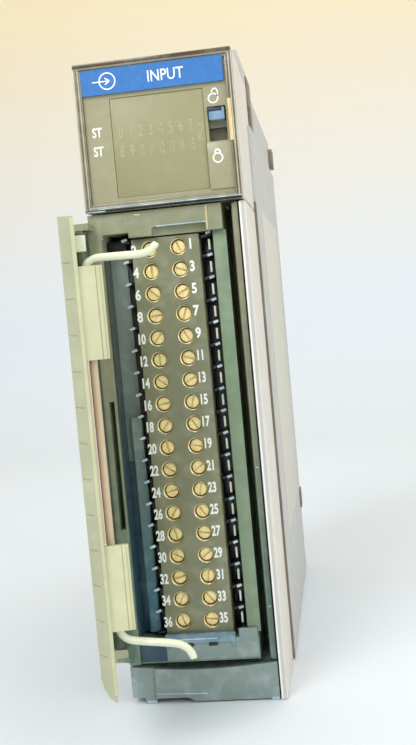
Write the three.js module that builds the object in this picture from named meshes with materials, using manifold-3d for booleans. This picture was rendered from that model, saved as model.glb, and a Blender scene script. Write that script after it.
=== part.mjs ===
// Slot-in digital input module for an industrial controller: a slim plastic case with a display
// bezel, a removable 36-way screw terminal block, its hinged cover and a wire retaining bail.
// Millimetres. +X to the right seen from the front, +Y towards the back, +Z up. The origin lies
// on the bottom face of the case, at half its depth.
import * as THREE from 'three';
import { mergeVertices } from 'three/addons/utils/BufferGeometryUtils.js';
import Module from 'manifold-3d';

const wasm = await Module();
wasm.setup();

// ---- Driving dimensions -------------------------------------------------------------------
const MODULE_WIDTH = 35.0;
const MODULE_HEIGHT = 143.0;
const MODULE_DEPTH = 120.0;
const WALL = 1.3;                 // case wall
const GAP = 0.3;                  // clearance between pieces that touch
const FRONT_SETBACK = 0.9;        // case front edge behind the bezel face

const BEZEL_HEIGHT = 32.4;
const BEZEL_DEPTH = 14.0;
const BEZEL_SIDE = 1.1;           // frame width left and right of the display
const BEZEL_RIM = 1.3;            // frame width above and below the display
const PLATE_RECESS = 1.1;         // display plate behind the bezel face
const PLATE_THICK = 1.2;
const LABEL_HEIGHT = 5.5;
const LABEL_THICK = 0.4;
const WINDOW_WIDTH = 20.0;
const WINDOW_FOOT = 3.2;          // window's lower edge above the bezel bottom
const WINDOW_TOP = 8.2;           // below the bezel top
const LEVER_SLOT = { width: 4.0, height: 7.4, right: 2.3, top: 12.1 };
const LEVER_TAB = { height: 2.6, proud: 0.7 };
const LEVER_TOP_PLAY = 0.4;        // tab below the top of its slot at rest

const CHIN_HEIGHT = 8.6;
const CHIN_DEPTH = 16.0;
const SEAT_DEPTH = 18.0;          // depth of the pocket that takes the terminal block
const RIM_WIDTH = 1.2;            // fixed rim along the right of the pocket
const RIM_SETBACK = 1.5;
const SIDE_GAP = 2.4;             // open groove between the rim and the terminal block
const TERMINAL_INSET = 0.1;

const ROWS = 18;
const ROW_PITCH = 4.93;
const FIRST_ROW_DROP = 41.1;      // first screw row below the bezel top
const COLUMN_SPACING = 6.5;
const COLUMN_MIDDLE = -1.35;      // middle of the two screw columns
const SCREW_HEAD_R = 1.45;
const SCREW_HEAD_LENGTH = 1.8;
const SCREW_SHANK_R = 1.0;
const SCREW_LENGTH = 6.4;
const SCREW_SLOT = 0.5;
const HOLE_R = 1.85;
const SCREW_SETBACK = 0.9;        // screw head below the block face
const BLOCK_WIDTH = 15.2;
const BLOCK_SHIFT = 0.35;         // block's middle right of the columns' middle
const BLOCK_SETBACK = 3.2;        // block face behind the bezel face
const COMB_LEFT_WIDTH = 1.3;
const COMB_RIGHT_WIDTH = 2.6;
const COMB_DEPTH = 4.0;
const FIN_THICK = 0.8;
const STRIP_SETBACK = 2.8;        // strip right of the right comb, behind the bezel face
const LEFT_WALL = 2.6;            // hinge side wall of the terminal frame
const WALL_SLOT = { left: 0.8, width: 1.3, below: 33, above: 22 };
const HINGE_FLANGE = { out: 2.0, thick: 1.2 };         // closes the gap behind the door
const LEDGE_NOTCH = { left: 3.0, width: 5.8, rise: 1.1 };
const FRAME_SETBACK = 1.2;        // frame's front behind the bezel face
const LIP_SETBACK = 2.0;

const DOOR_LAP = 0.1;             // closed door's free edge past the rim's left side
const DOOR_HEIGHT = 92.0;
const DOOR_THICK = 1.4;
const DOOR_OPEN = 76;             // degrees from closed in the stored pose
const DOOR_OFFSET = 1.2;          // inner face of the panel from the hinge axis
const GRIP_WIDTH = 2.4;
const GRIP_PROUD = 1.4;
const GRIP_TAPER = 5.0;           // length of the grip's tapered lower end
const TAB_REACH = 4.6;
const TAB_THICK = 1.2;
const UPPER_TAB = { drop: 9.4, height: 17.6 };         // drop below the door top
const LOWER_TAB = { drop: 62.3, height: 16.4 };
const CLIP_INSET = 4.0;           // bail clip inside its tab's ends
const CLIP_THICK = 0.8;
const HINGE_OUT = 1.1;            // hinge axis outside the case's left side
const HINGE_Y = -1.6;             // in front of the bezel face
const KNUCKLE_R = 1.6;
const KNUCKLE_LENGTH = 7.5;
const PIN_R = 0.6;
const EAR_THICK = 1.5;
const LOWER_EAR = 4.4;            // height of the lower hinge ear

const BAIL_R = 0.85;
const BAIL_ARM = 14.2;
const BAIL_BEND = 3.2;            // curved end of each arm
const BAIL_CORNER = 2.4;
const BAIL_ANGLE = 84;            // arms swung off the door panel, degrees
const BAIL_INSET = 3.5;           // rod axis from the door's free edge

const LATCH_WIDTH = 26.0;
const LATCH_LENGTH = 28.0;
const LATCH_RISE = 3.6;           // height of the release latch above the case top
const EAR_RISE = 4.2;             // guard ribs beside the release latch
const BOARD_THICK = 1.6;

// ---- Places worked out from the driving dimensions ----------------------------------------
const HALF = MODULE_WIDTH / 2;
const FRONT = -MODULE_DEPTH / 2;                       // bezel face
const BACK = MODULE_DEPTH / 2;
const BEZEL_BOTTOM = MODULE_HEIGHT - BEZEL_HEIGHT;
const BEZEL_BACK = FRONT + BEZEL_DEPTH;
const SEAT_BACK = FRONT + SEAT_DEPTH;
const CASE_TOP = MODULE_HEIGHT - 1.0;
const COVER_X = HALF - WALL;                           // inner face of the right cover
const TERMINAL_TOP = BEZEL_BOTTOM - GAP;
const TERMINAL_BOTTOM = CHIN_HEIGHT + 2 * GAP;
const RIM_LEFT = COVER_X - GAP - RIM_WIDTH;
const TERMINAL_RIGHT = RIM_LEFT - SIDE_GAP;
const TERMINAL_LEFT = -HALF + TERMINAL_INSET;
const BLOCK_LEFT = COLUMN_MIDDLE + BLOCK_SHIFT - BLOCK_WIDTH / 2;
const BLOCK_RIGHT = BLOCK_LEFT + BLOCK_WIDTH;
const BLOCK_FACE = FRONT + BLOCK_SETBACK;
const FIRST_ROW = MODULE_HEIGHT - FIRST_ROW_DROP;
const LAST_ROW = FIRST_ROW - (ROWS - 1) * ROW_PITCH;
const BLOCK_TOP = FIRST_ROW + ROW_PITCH / 2;
const BLOCK_BOTTOM = LAST_ROW - ROW_PITCH / 2 - 1.0;
const DOOR_TOP = TERMINAL_TOP - 3.8;
const DOOR_BOTTOM = DOOR_TOP - DOOR_HEIGHT;
const HINGE_X = -HALF - HINGE_OUT;
const DOOR_WIDTH = RIM_LEFT + DOOR_LAP - HINGE_X;      // hinge axis to free edge
const HINGE_AXIS_Y = FRONT + HINGE_Y;
const BOARD_X = COVER_X - 4.4;                         // component side of the circuit board

// ---- Finishes -----------------------------------------------------------------------------
const finish = (color, roughness = 0.5, metalness = 0) =>
  new THREE.MeshStandardMaterial({ color, roughness, metalness });
const CASE_LILAC = finish('#d9d3da', 0.55);
const OLIVE = finish('#6c6a52', 0.45);
const OLIVE_DARK = finish('#55533f', 0.5);
const DISPLAY_OLIVE = finish('#777258', 0.35);
const LABEL_BLUE = finish('#3f7fd6', 0.4);
const LEVER_BLUE = finish('#5f7f9c', 0.4);
const BLACK = finish('#15171a', 0.35);
const CHIN_GREY = finish('#34383b', 0.3);
const BRASS = finish('#c79a4b', 0.35, 0.9);
const CREAM = finish('#cdc9a4', 0.45);
const CARD_WHITE = finish('#e9e8df', 0.7);
const BOARD_GREEN = finish('#2f6b45', 0.5);
const STEEL = finish('#a9adb2', 0.3, 0.9);

// ---- Solid helpers ------------------------------------------------------------------------
function toSolid(geometry) {
  const bare = geometry.clone();
  bare.deleteAttribute('normal');
  bare.deleteAttribute('uv');
  const merged = mergeVertices(bare, 1e-4);
  return new wasm.Manifold(new wasm.Mesh({
    numProp: 3,
    vertProperties: new Float32Array(merged.attributes.position.array),
    triVerts: new Uint32Array(merged.index.array),
  }));
}

function toGeometry(solid) {
  const mesh = solid.getMesh();
  const geometry = new THREE.BufferGeometry();
  geometry.setAttribute('position', new THREE.BufferAttribute(mesh.vertProperties, 3));
  geometry.setIndex(new THREE.BufferAttribute(mesh.triVerts, 1));
  geometry.computeVertexNormals();
  return geometry;
}

// Box between two opposite corners.
function box(x0, x1, y0, y1, z0, z1) {
  const geometry = new THREE.BoxGeometry(x1 - x0, y1 - y0, z1 - z0);
  geometry.translate((x0 + x1) / 2, (y0 + y1) / 2, (z0 + z1) / 2);
  return toSolid(geometry);
}

// Cylinder along Z.
function pillar(x, y, z0, z1, radius, sides = 16) {
  const geometry = new THREE.CylinderGeometry(radius, radius, z1 - z0, sides);
  geometry.rotateX(Math.PI / 2);
  geometry.translate(x, y, (z0 + z1) / 2);
  return toSolid(geometry);
}

// Cylinder along Y.
function peg(x, z, y0, y1, radius, sides = 12) {
  const geometry = new THREE.CylinderGeometry(radius, radius, y1 - y0, sides);
  geometry.translate(x, (y0 + y1) / 2, z);
  return toSolid(geometry);
}

// Outline in the YZ plane, given as [y, z] points, run along X.
function sideProfile(points, x0, x1) {
  const shape = new THREE.Shape(points.map(([y, z]) => new THREE.Vector2(y, z)));
  const geometry = new THREE.ExtrudeGeometry(shape, { depth: x1 - x0, bevelEnabled: false });
  geometry.applyMatrix4(new THREE.Matrix4().set(
    0, 0, 1, x0,
    1, 0, 0, 0,
    0, 1, 0, 0,
    0, 0, 0, 1));
  return toSolid(geometry);
}

// Outline in the XZ plane, given as [x, z] points, run along Y.
function frontProfile(points, y0, y1) {
  const shape = new THREE.Shape(points.map(([x, z]) => new THREE.Vector2(x, z)));
  const geometry = new THREE.ExtrudeGeometry(shape, { depth: y1 - y0, bevelEnabled: false });
  geometry.applyMatrix4(new THREE.Matrix4().set(
    1, 0, 0, 0,
    0, 0, -1, y1,
    0, 1, 0, 0,
    0, 0, 0, 1));
  return toSolid(geometry);
}

const join = (...solids) => solids.reduce((whole, next) => whole.add(next));
const cut = (body, ...tools) => tools.reduce((left, tool) => left.subtract(tool), body);

const module = new THREE.Group();

function place(name, solid, material, parent = module) {
  const mesh = new THREE.Mesh(toGeometry(solid), material);
  mesh.name = name;
  parent.add(mesh);
  return mesh;
}

// ---- Case ---------------------------------------------------------------------------------
const VENT_COUNT = 9;
const VENT_PITCH = 7.0;
const VENT_SIZE = { width: 3.0, length: 18.0 };
const VENT_FRONT = 38.0;          // first vent behind the bezel face

function ventSlots(z0, z1) {
  return Array.from({ length: VENT_COUNT }, (_, i) => {
    const y = FRONT + VENT_FRONT + i * VENT_PITCH + 16;
    return box(-VENT_SIZE.length / 2, VENT_SIZE.length / 2, y, y + VENT_SIZE.width, z0, z1);
  });
}

const LATCH_FRONT = BEZEL_BACK + 2.0;
const LATCH_BACK = LATCH_FRONT + LATCH_LENGTH;
const BOTTOM_LATCH = { width: 10.0, front: SEAT_BACK + 5.0, length: 22.0, thick: 1.2, recess: 0.5 };
const CONNECTOR = { width: 8.0, height: 62.0, low: 42.0, reach: 5.0 };

// Deep tray: left wall, top, bottom and back, with a guard rib beside the release latch.
function caseBody() {
  const right = COVER_X - GAP;
  const outline = sideProfile([
    [SEAT_BACK + GAP, 0], [BACK, 0], [BACK, CASE_TOP],
    [BEZEL_BACK + GAP, CASE_TOP], [BEZEL_BACK + GAP, BEZEL_BOTTOM + WALL],
    [SEAT_BACK + GAP, BEZEL_BOTTOM + WALL],
  ], -HALF, right);
  const hollow = box(-HALF + WALL, right + 1, SEAT_BACK - 20, BACK - WALL, WALL, CASE_TOP - WALL);
  const backSlot = box(BOARD_X - CONNECTOR.width - GAP, BOARD_X + GAP, BACK - WALL - 1, BACK + 1,
    CONNECTOR.low - GAP, CONNECTOR.low + CONNECTOR.height + GAP);
  const latchSlot = box(-BOTTOM_LATCH.width / 2 - GAP, BOTTOM_LATCH.width / 2 + GAP,
    BOTTOM_LATCH.front - GAP, BOTTOM_LATCH.front + BOTTOM_LATCH.length + GAP, -1, WALL + 1);
  const rib = box(-HALF, -HALF + WALL, LATCH_FRONT - 1, LATCH_BACK + 4, CASE_TOP - WALL,
    CASE_TOP + EAR_RISE);
  const topVents = ventSlots(CASE_TOP - WALL - 1, CASE_TOP + 1);
  const bottomVents = ventSlots(-1, WALL + 1).slice(1);
  return cut(join(outline, rib), hollow, backSlot, latchSlot, ...topVents, ...bottomVents);
}

// Flat right-hand cover with its front band, a groove and the matching guard rib.
function caseCover() {
  const front = FRONT + FRONT_SETBACK;
  const outline = sideProfile([
    [front, 0], [BACK, 0], [BACK, CASE_TOP], [BEZEL_BACK + GAP, CASE_TOP],
    [BEZEL_BACK + GAP, BEZEL_BOTTOM - GAP], [front, BEZEL_BOTTOM - GAP],
  ], COVER_X, HALF);
  const rib = box(HALF - WALL, HALF, LATCH_FRONT - 1, LATCH_BACK + 4, CASE_TOP - WALL,
    CASE_TOP + EAR_RISE);
  const groove = box(HALF - 0.5, HALF + 1, FRONT + 15, FRONT + 17, -1, BEZEL_BOTTOM + WALL);
  const topRecess = box(HALF - 0.6, HALF + 1, LATCH_FRONT + 10, LATCH_FRONT + 22,
    CASE_TOP - 14, CASE_TOP - 3);
  return cut(join(outline, rib), groove, topRecess);
}

place('case_body', caseBody(), CASE_LILAC);
place('case_cover', caseCover(), CASE_LILAC);
const LABEL_FRAME = { front: 45, back: 105, low: 28, high: 112 };
place('side_label', box(HALF + GAP, HALF + GAP + 0.2, FRONT + LABEL_FRAME.front,
  FRONT + LABEL_FRAME.back, LABEL_FRAME.low, LABEL_FRAME.high), CARD_WHITE);

// ---- Circuit board and connectors ---------------------------------------------------------
place('circuit_board', box(BOARD_X + GAP, BOARD_X + GAP + BOARD_THICK, SEAT_BACK + 3.5, BACK - WALL - 2,
  WALL + 3, CASE_TOP - WALL - 3), BOARD_GREEN);
place('backplane_connector', box(BOARD_X - CONNECTOR.width, BOARD_X, BACK - 10, BACK + CONNECTOR.reach,
  CONNECTOR.low, CONNECTOR.low + CONNECTOR.height), BLACK);
const HEADER = { left: -5.0, back: 12.0 };
place('field_header', box(HEADER.left, BOARD_X, SEAT_BACK + GAP, SEAT_BACK + HEADER.back,
  LAST_ROW, FIRST_ROW), BLACK);
place('indicator_board', box(-HALF + 3.2, HALF - 6.5, FRONT + 8, FRONT + 8 + BOARD_THICK,
  BEZEL_BOTTOM + 3.5, MODULE_HEIGHT - 3.5), BOARD_GREEN);

// ---- Display bezel ------------------------------------------------------------------------
const SLOT_RIGHT = HALF - LEVER_SLOT.right;
const SLOT_LEFT = SLOT_RIGHT - LEVER_SLOT.width;
const SLOT_TOP = MODULE_HEIGHT - LEVER_SLOT.top;
const WINDOW_RIGHT = SLOT_LEFT - 1.0;
const WINDOW_BOTTOM = BEZEL_BOTTOM + WINDOW_FOOT;

const PLATE_FRONT = FRONT + PLATE_RECESS;

function frontBezel() {
  const outer = box(-HALF, HALF, FRONT, BEZEL_BACK, BEZEL_BOTTOM, MODULE_HEIGHT);
  const opening = box(-HALF + BEZEL_SIDE, HALF - BEZEL_SIDE, FRONT - 1, BEZEL_BACK + 1,
    BEZEL_BOTTOM + BEZEL_RIM, MODULE_HEIGHT - BEZEL_RIM);
  return cut(outer, opening);
}

function windowBox(grow, y0, y1) {
  return box(WINDOW_RIGHT - WINDOW_WIDTH - grow, WINDOW_RIGHT + grow, y0, y1,
    WINDOW_BOTTOM - grow, MODULE_HEIGHT - WINDOW_TOP + grow);
}

function displayPlate() {
  const edge = GAP;
  const plate = box(-HALF + BEZEL_SIDE + edge, HALF - BEZEL_SIDE - edge, PLATE_FRONT,
    PLATE_FRONT + PLATE_THICK, BEZEL_BOTTOM + BEZEL_RIM + edge, MODULE_HEIGHT - BEZEL_RIM - edge);
  const slot = box(SLOT_LEFT, SLOT_RIGHT, PLATE_FRONT - 1, PLATE_FRONT + PLATE_THICK + 1,
    SLOT_TOP - LEVER_SLOT.height, SLOT_TOP);
  return cut(plate, slot, windowBox(GAP, PLATE_FRONT - 1, PLATE_FRONT + PLATE_THICK + 1));
}

// Tab in the slot with a wider shoe behind the plate that keeps it in.
function lockLever() {
  const tabTop = SLOT_TOP - LEVER_TOP_PLAY;
  const tab = box(SLOT_LEFT + GAP, SLOT_RIGHT - GAP, PLATE_FRONT - LEVER_TAB.proud,
    PLATE_FRONT + PLATE_THICK + 1.4, tabTop - LEVER_TAB.height, tabTop);
  const shoe = box(SLOT_LEFT - 1.2, SLOT_RIGHT + 0.6, PLATE_FRONT + PLATE_THICK + GAP,
    PLATE_FRONT + PLATE_THICK + 1.8, tabTop - LEVER_TAB.height - 1.4, tabTop + 1.0);
  return join(tab, shoe);
}

place('front_bezel', frontBezel(), OLIVE);
place('display_plate', displayPlate(), DISPLAY_OLIVE);
place('indicator_window', windowBox(0, PLATE_FRONT + 0.2, PLATE_FRONT + PLATE_THICK), DISPLAY_OLIVE);
place('type_label', box(-HALF + 1.6, HALF - 2.1, PLATE_FRONT - GAP - LABEL_THICK, PLATE_FRONT - GAP,
  MODULE_HEIGHT - 1.45 - LABEL_HEIGHT, MODULE_HEIGHT - 1.45), LABEL_BLUE);
place('lock_lever', lockLever(), LEVER_BLUE);

// ---- Pocket and lower cover ---------------------------------------------------------------
// Back plate of the pocket with the fixed rim that runs down its right side.
function pocketFrame() {
  const right = COVER_X - GAP;
  const plate = box(-HALF + WALL + GAP, right, SEAT_BACK + 2 * GAP, SEAT_BACK + 2.2,
    WALL + GAP, BEZEL_BOTTOM - GAP);
  const window = box(HEADER.left - GAP, BOARD_X + GAP, SEAT_BACK - 1, SEAT_BACK + 4,
    LAST_ROW - GAP, FIRST_ROW + GAP);
  const rim = box(RIM_LEFT, right, FRONT + RIM_SETBACK, SEAT_BACK + 2.2, TERMINAL_BOTTOM,
    BEZEL_BOTTOM - 2 * GAP);
  return cut(join(plate, rim), window);
}

// Lower cover with two feet, a raised lower edge on its left half and a dished top.
const CHIN = { front: 1.6, foot: 2.0, leftLift: 1.5, notchLift: 1.3, rightLift: 0.4, dish: 1.0 };

function chinCover() {
  const left = -HALF;
  const right = COVER_X - GAP;
  const leftFoot = left + 2.9;
  const middle = (left + right) / 2;
  const outline = [
    [left, CHIN.leftLift], [leftFoot, CHIN.notchLift], [leftFoot, 0], [leftFoot + CHIN.foot, 0],
    [leftFoot + CHIN.foot + 1, CHIN.notchLift], [middle - 4, CHIN.notchLift], [middle - 2, CHIN.rightLift],
    [right - CHIN.foot, CHIN.rightLift], [right - CHIN.foot, 0], [right, 0],
  ];
  const steps = 12;
  for (let i = 0; i <= steps; i += 1) {
    const share = i / steps;
    outline.push([right + (left - right) * share, CHIN_HEIGHT - CHIN.dish * Math.sin(Math.PI * share)]);
  }
  return frontProfile(outline, FRONT + CHIN.front, FRONT + CHIN_DEPTH);
}

place('pocket_frame', pocketFrame(), OLIVE);
place('lower_cover', chinCover(), CHIN_GREY);

// ---- Release latches ----------------------------------------------------------------------
function topLatch() {
  const low = CASE_TOP + LATCH_RISE - 1.4;
  const plate = box(-LATCH_WIDTH / 2, LATCH_WIDTH / 2, LATCH_FRONT, LATCH_BACK, low, low + 1.4);
  const foot = box(-LATCH_WIDTH / 2, LATCH_WIDTH / 2, LATCH_BACK - 3, LATCH_BACK, CASE_TOP + GAP, low + 1);
  const lip = box(-LATCH_WIDTH / 2, LATCH_WIDTH / 2, LATCH_FRONT, LATCH_FRONT + 1.6, low, low + 2.2);
  return join(plate, foot, lip);
}

function bottomLatch() {
  const { width, front, length, thick, recess } = BOTTOM_LATCH;
  const plate = box(-width / 2, width / 2, front, front + length, recess, recess + thick);
  const hook = box(-width / 2, width / 2, front, front + 1.5, recess, recess + thick + 1.5);
  return join(plate, hook);
}

place('top_latch', topLatch(), OLIVE_DARK);
place('bottom_latch', bottomLatch(), OLIVE_DARK);

// ---- Removable terminal block -------------------------------------------------------------
const COMB_LEFT = BLOCK_LEFT - GAP - COMB_LEFT_WIDTH;
const COMB_RIGHT = BLOCK_RIGHT + GAP;
const PANEL_LEFT = COMB_RIGHT + COMB_RIGHT_WIDTH + GAP;
const FRAME_BACK_PLATE = 3.0;

// Frame: hinge side wall, right strip, top ledge, bottom lip and the plate behind the block.
function terminalFrame() {
  const front = FRONT + FRAME_SETBACK;
  const plateFront = SEAT_BACK - FRAME_BACK_PLATE;
  const wall = box(TERMINAL_LEFT, TERMINAL_LEFT + LEFT_WALL, front, SEAT_BACK, TERMINAL_BOTTOM,
    TERMINAL_TOP);
  const strip = box(PANEL_LEFT, TERMINAL_RIGHT, FRONT + STRIP_SETBACK, SEAT_BACK, TERMINAL_BOTTOM,
    TERMINAL_TOP);
  const ledge = box(TERMINAL_LEFT, TERMINAL_RIGHT, front, SEAT_BACK, BLOCK_TOP + GAP, TERMINAL_TOP);
  const lip = box(TERMINAL_LEFT, TERMINAL_RIGHT, FRONT + LIP_SETBACK, SEAT_BACK, TERMINAL_BOTTOM,
    BLOCK_BOTTOM - GAP);
  const plate = box(TERMINAL_LEFT, TERMINAL_RIGHT, plateFront, SEAT_BACK, TERMINAL_BOTTOM, TERMINAL_TOP);
  const flange = box(-HALF - HINGE_FLANGE.out, TERMINAL_LEFT + 1, front, front + HINGE_FLANGE.thick,
    DOOR_BOTTOM - GAP, DOOR_TOP + GAP);
  const slotLeft = TERMINAL_LEFT + WALL_SLOT.left;
  const slot = box(slotLeft, slotLeft + WALL_SLOT.width, front - 1, plateFront - 2,
    LAST_ROW + WALL_SLOT.above, FIRST_ROW - WALL_SLOT.below);
  const notchLeft = TERMINAL_LEFT + LEDGE_NOTCH.left;
  const notch = box(notchLeft, notchLeft + LEDGE_NOTCH.width, front - 1, plateFront,
    BLOCK_TOP, BLOCK_TOP + GAP + LEDGE_NOTCH.rise);
  const earLeft = HINGE_X - KNUCKLE_R;
  const earFront = HINGE_AXIS_Y - KNUCKLE_R;
  const upperEar = box(earLeft, TERMINAL_LEFT + 1, earFront, front + 1, DOOR_TOP + GAP,
    DOOR_TOP + GAP + EAR_THICK);
  const earTop = DOOR_BOTTOM - GAP;
  const earFoot = earTop - LOWER_EAR;
  const lowerEar = sideProfile([
    [earFront, earTop], [earFront, earTop - EAR_THICK], [(earFront + front) / 2, earFoot + 0.8],
    [front, earFoot], [front + 1, earFoot], [front + 1, earTop],
  ], earLeft, TERMINAL_LEFT + 1);
  const bore = pillar(HINGE_X, HINGE_AXIS_Y, DOOR_BOTTOM - 5, DOOR_TOP + 5, PIN_R + GAP, 12);
  return cut(join(wall, strip, ledge, lip, plate, flange, upperEar, lowerEar), slot, notch, bore);
}

const rowHeight = (row) => FIRST_ROW - row * ROW_PITCH;
const columnX = (side) => COLUMN_MIDDLE + side * COLUMN_SPACING / 2;

function terminalBlock() {
  const backFace = SEAT_BACK - FRAME_BACK_PLATE - GAP;
  const body = box(BLOCK_LEFT, BLOCK_RIGHT, BLOCK_FACE, backFace, BLOCK_BOTTOM, BLOCK_TOP);
  const holes = [];
  for (let row = 0; row < ROWS; row += 1) {
    for (const side of [-1, 1]) {
      holes.push(peg(columnX(side), rowHeight(row), BLOCK_FACE - 1,
        BLOCK_FACE + SCREW_SETBACK + SCREW_LENGTH + GAP, HOLE_R));
    }
  }
  return cut(body, ...holes);
}

function terminalScrew(x, z, turn) {
  const face = BLOCK_FACE + SCREW_SETBACK;
  const head = peg(0, 0, face, face + SCREW_HEAD_LENGTH, SCREW_HEAD_R, 12);
  const shank = peg(0, 0, face + 1, face + SCREW_LENGTH, SCREW_SHANK_R, 6);
  const slot = box(-SCREW_HEAD_R - 1, SCREW_HEAD_R + 1, face - 1, face + 0.7,
    -SCREW_SLOT / 2, SCREW_SLOT / 2);
  return cut(join(head, shank), slot).rotate([0, turn, 0]).translate([x, 0, z]);
}

// Comb of fins that keeps neighbouring wires apart: a fin between every two rows.
function wireComb(x0, x1) {
  const backFace = BLOCK_FACE + COMB_DEPTH;
  const spine = box(x0, x1, backFace, backFace + 2, BLOCK_BOTTOM + 0.2, BLOCK_TOP - 0.2);
  const fins = Array.from({ length: ROWS + 1 }, (_, i) => {
    const z = Math.min(BLOCK_TOP - 0.2 - FIN_THICK / 2, rowHeight(i) + ROW_PITCH / 2);
    return box(x0, x1, BLOCK_FACE + 0.2, backFace + 1, z - FIN_THICK / 2, z + FIN_THICK / 2);
  });
  return join(spine, ...fins);
}

place('terminal_frame', terminalFrame(), OLIVE);
place('terminal_block', terminalBlock(), OLIVE_DARK);
place('wire_comb_left', wireComb(COMB_LEFT, COMB_LEFT + COMB_LEFT_WIDTH), BLACK);
place('wire_comb_right', wireComb(COMB_RIGHT, COMB_RIGHT + COMB_RIGHT_WIDTH), BLACK);
for (let row = 0; row < ROWS; row += 1) {
  for (const side of [1, -1]) {
    const number = 2 * row + (side > 0 ? 1 : 2);
    const turn = (number * 67) % 180;
    place(`terminal_screw_${String(number).padStart(2, '0')}`,
      terminalScrew(columnX(side), rowHeight(row), turn), BRASS);
  }
}
place('hinge_pin', pillar(HINGE_X, HINGE_AXIS_Y, DOOR_BOTTOM - GAP - EAR_THICK, DOOR_TOP + GAP + EAR_THICK,
  PIN_R, 12), STEEL);

// ---- Door, drawn closed around its hinge axis, then swung open ------------------------------
const door = new THREE.Group();
door.position.set(HINGE_X, HINGE_AXIS_Y, 0);
door.rotation.z = THREE.MathUtils.degToRad(-DOOR_OPEN);
module.add(door);

const TAB_X = DOOR_WIDTH - 0.6 - TAB_THICK;            // near face of the hook tabs
const BAIL_X = DOOR_WIDTH - BAIL_INSET;
const BAIL_Y = -DOOR_OFFSET + BAIL_R + 0.5;
const CLIP_X = BAIL_X - BAIL_R - GAP;

function doorPanel() {
  const outer = -DOOR_OFFSET - DOOR_THICK;
  const panel = box(-DOOR_OFFSET, DOOR_WIDTH, outer, -DOOR_OFFSET, DOOR_BOTTOM, DOOR_TOP);
  const grip = box(DOOR_WIDTH - GRIP_WIDTH, DOOR_WIDTH, outer - GRIP_PROUD, outer + 0.5,
    DOOR_BOTTOM, DOOR_TOP);
  const pieces = [grip];
  for (const { drop, height } of [UPPER_TAB, LOWER_TAB]) {
    const top = DOOR_TOP - drop;
    pieces.push(box(TAB_X, TAB_X + TAB_THICK, -DOOR_OFFSET - 0.5, -DOOR_OFFSET + TAB_REACH,
      top - height, top));
    pieces.push(box(CLIP_X - CLIP_THICK, CLIP_X, -DOOR_OFFSET - 0.5, BAIL_Y + BAIL_R,
      top - height + CLIP_INSET, top - CLIP_INSET));
  }
  for (const z of [DOOR_BOTTOM, DOOR_TOP - KNUCKLE_LENGTH]) {
    pieces.push(pillar(0, 0, z, z + KNUCKLE_LENGTH, KNUCKLE_R));
  }
  const gripFace = outer - GRIP_PROUD;
  const taper = sideProfile([
    [gripFace - 1, DOOR_BOTTOM + GRIP_TAPER], [gripFace, DOOR_BOTTOM + GRIP_TAPER],
    [gripFace + 0.5, DOOR_BOTTOM + GRIP_TAPER * 0.55], [gripFace + 1.3, DOOR_BOTTOM + GRIP_TAPER * 0.22],
    [-DOOR_OFFSET - 0.3, DOOR_BOTTOM - GAP], [gripFace - 1, DOOR_BOTTOM - GAP],
  ], DOOR_WIDTH - GRIP_WIDTH - 1, DOOR_WIDTH + 1);
  const bore = pillar(0, 0, DOOR_BOTTOM - 1, DOOR_TOP + 1, PIN_R + GAP, 12);
  return cut(join(panel, ...pieces), bore, taper);
}

// Rod that runs in the two clips, with an arm at each end reaching over the wires.
function wireBail() {
  const angle = THREE.MathUtils.degToRad(180 - BAIL_ANGLE);
  const way = new THREE.Vector2(Math.cos(angle), Math.sin(angle));
  const at = (reach, z) => new THREE.Vector3(BAIL_X + way.x * reach, BAIL_Y + way.y * reach, z);
  const top = DOOR_TOP - UPPER_TAB.drop;
  const bottom = DOOR_TOP - LOWER_TAB.drop - LOWER_TAB.height;
  const armStart = BAIL_CORNER;
  const armEnd = BAIL_ARM - BAIL_BEND;
  const upper = { start: top + 1.6, end: top + 1.7, tip: top + 3.7 };
  const lower = { start: bottom - 2.4, end: bottom - 4.9, tip: bottom - 8.4 };
  const route = new THREE.CurvePath();
  const straight = (a, b) => route.add(new THREE.LineCurve3(a, b));
  const bend = (a, b, c) => route.add(new THREE.QuadraticBezierCurve3(a, b, c));
  bend(at(BAIL_ARM, upper.tip), at(BAIL_ARM - 1.2, upper.end), at(armEnd, upper.end));
  straight(at(armEnd, upper.end), at(armStart, upper.start));
  bend(at(armStart, upper.start), at(0, upper.start), at(0, upper.start - BAIL_CORNER));
  straight(at(0, upper.start - BAIL_CORNER), at(0, lower.start + BAIL_CORNER));
  bend(at(0, lower.start + BAIL_CORNER), at(0, lower.start), at(armStart, lower.start - 0.6));
  straight(at(armStart, lower.start - 0.6), at(armEnd, lower.end));
  bend(at(armEnd, lower.end), at(BAIL_ARM - 0.6, lower.end - 0.7), at(BAIL_ARM, lower.tip));
  const sides = 8;
  const section = new THREE.Shape(Array.from({ length: sides }, (_, i) => {
    const a = (i / sides) * 2 * Math.PI;
    return new THREE.Vector2(BAIL_R * Math.cos(a), BAIL_R * Math.sin(a));
  }));
  return toSolid(new THREE.ExtrudeGeometry(section, { steps: 56, extrudePath: route }));
}

place('terminal_door', doorPanel(), CREAM, door);
place('door_label_card', box(3.0, DOOR_WIDTH - GRIP_WIDTH - 1.5, -DOOR_OFFSET - DOOR_THICK - GAP - 0.3,
  -DOOR_OFFSET - DOOR_THICK - GAP, DOOR_BOTTOM + 3, DOOR_TOP - 3), CARD_WHITE, door);
place('wire_bail', wireBail(), CREAM, door);

export default module;
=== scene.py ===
"""Looks of a slot-in digital input module: case, display, screw terminal unit, door and bail.

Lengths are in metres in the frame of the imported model: +X right, +Y back, +Z up, with the
origin on the bottom face of the case.
"""
import logging
import math
from dataclasses import dataclass, field
from enum import Enum

import bmesh
import bpy
from mathutils import Matrix, Quaternion, Vector


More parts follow.
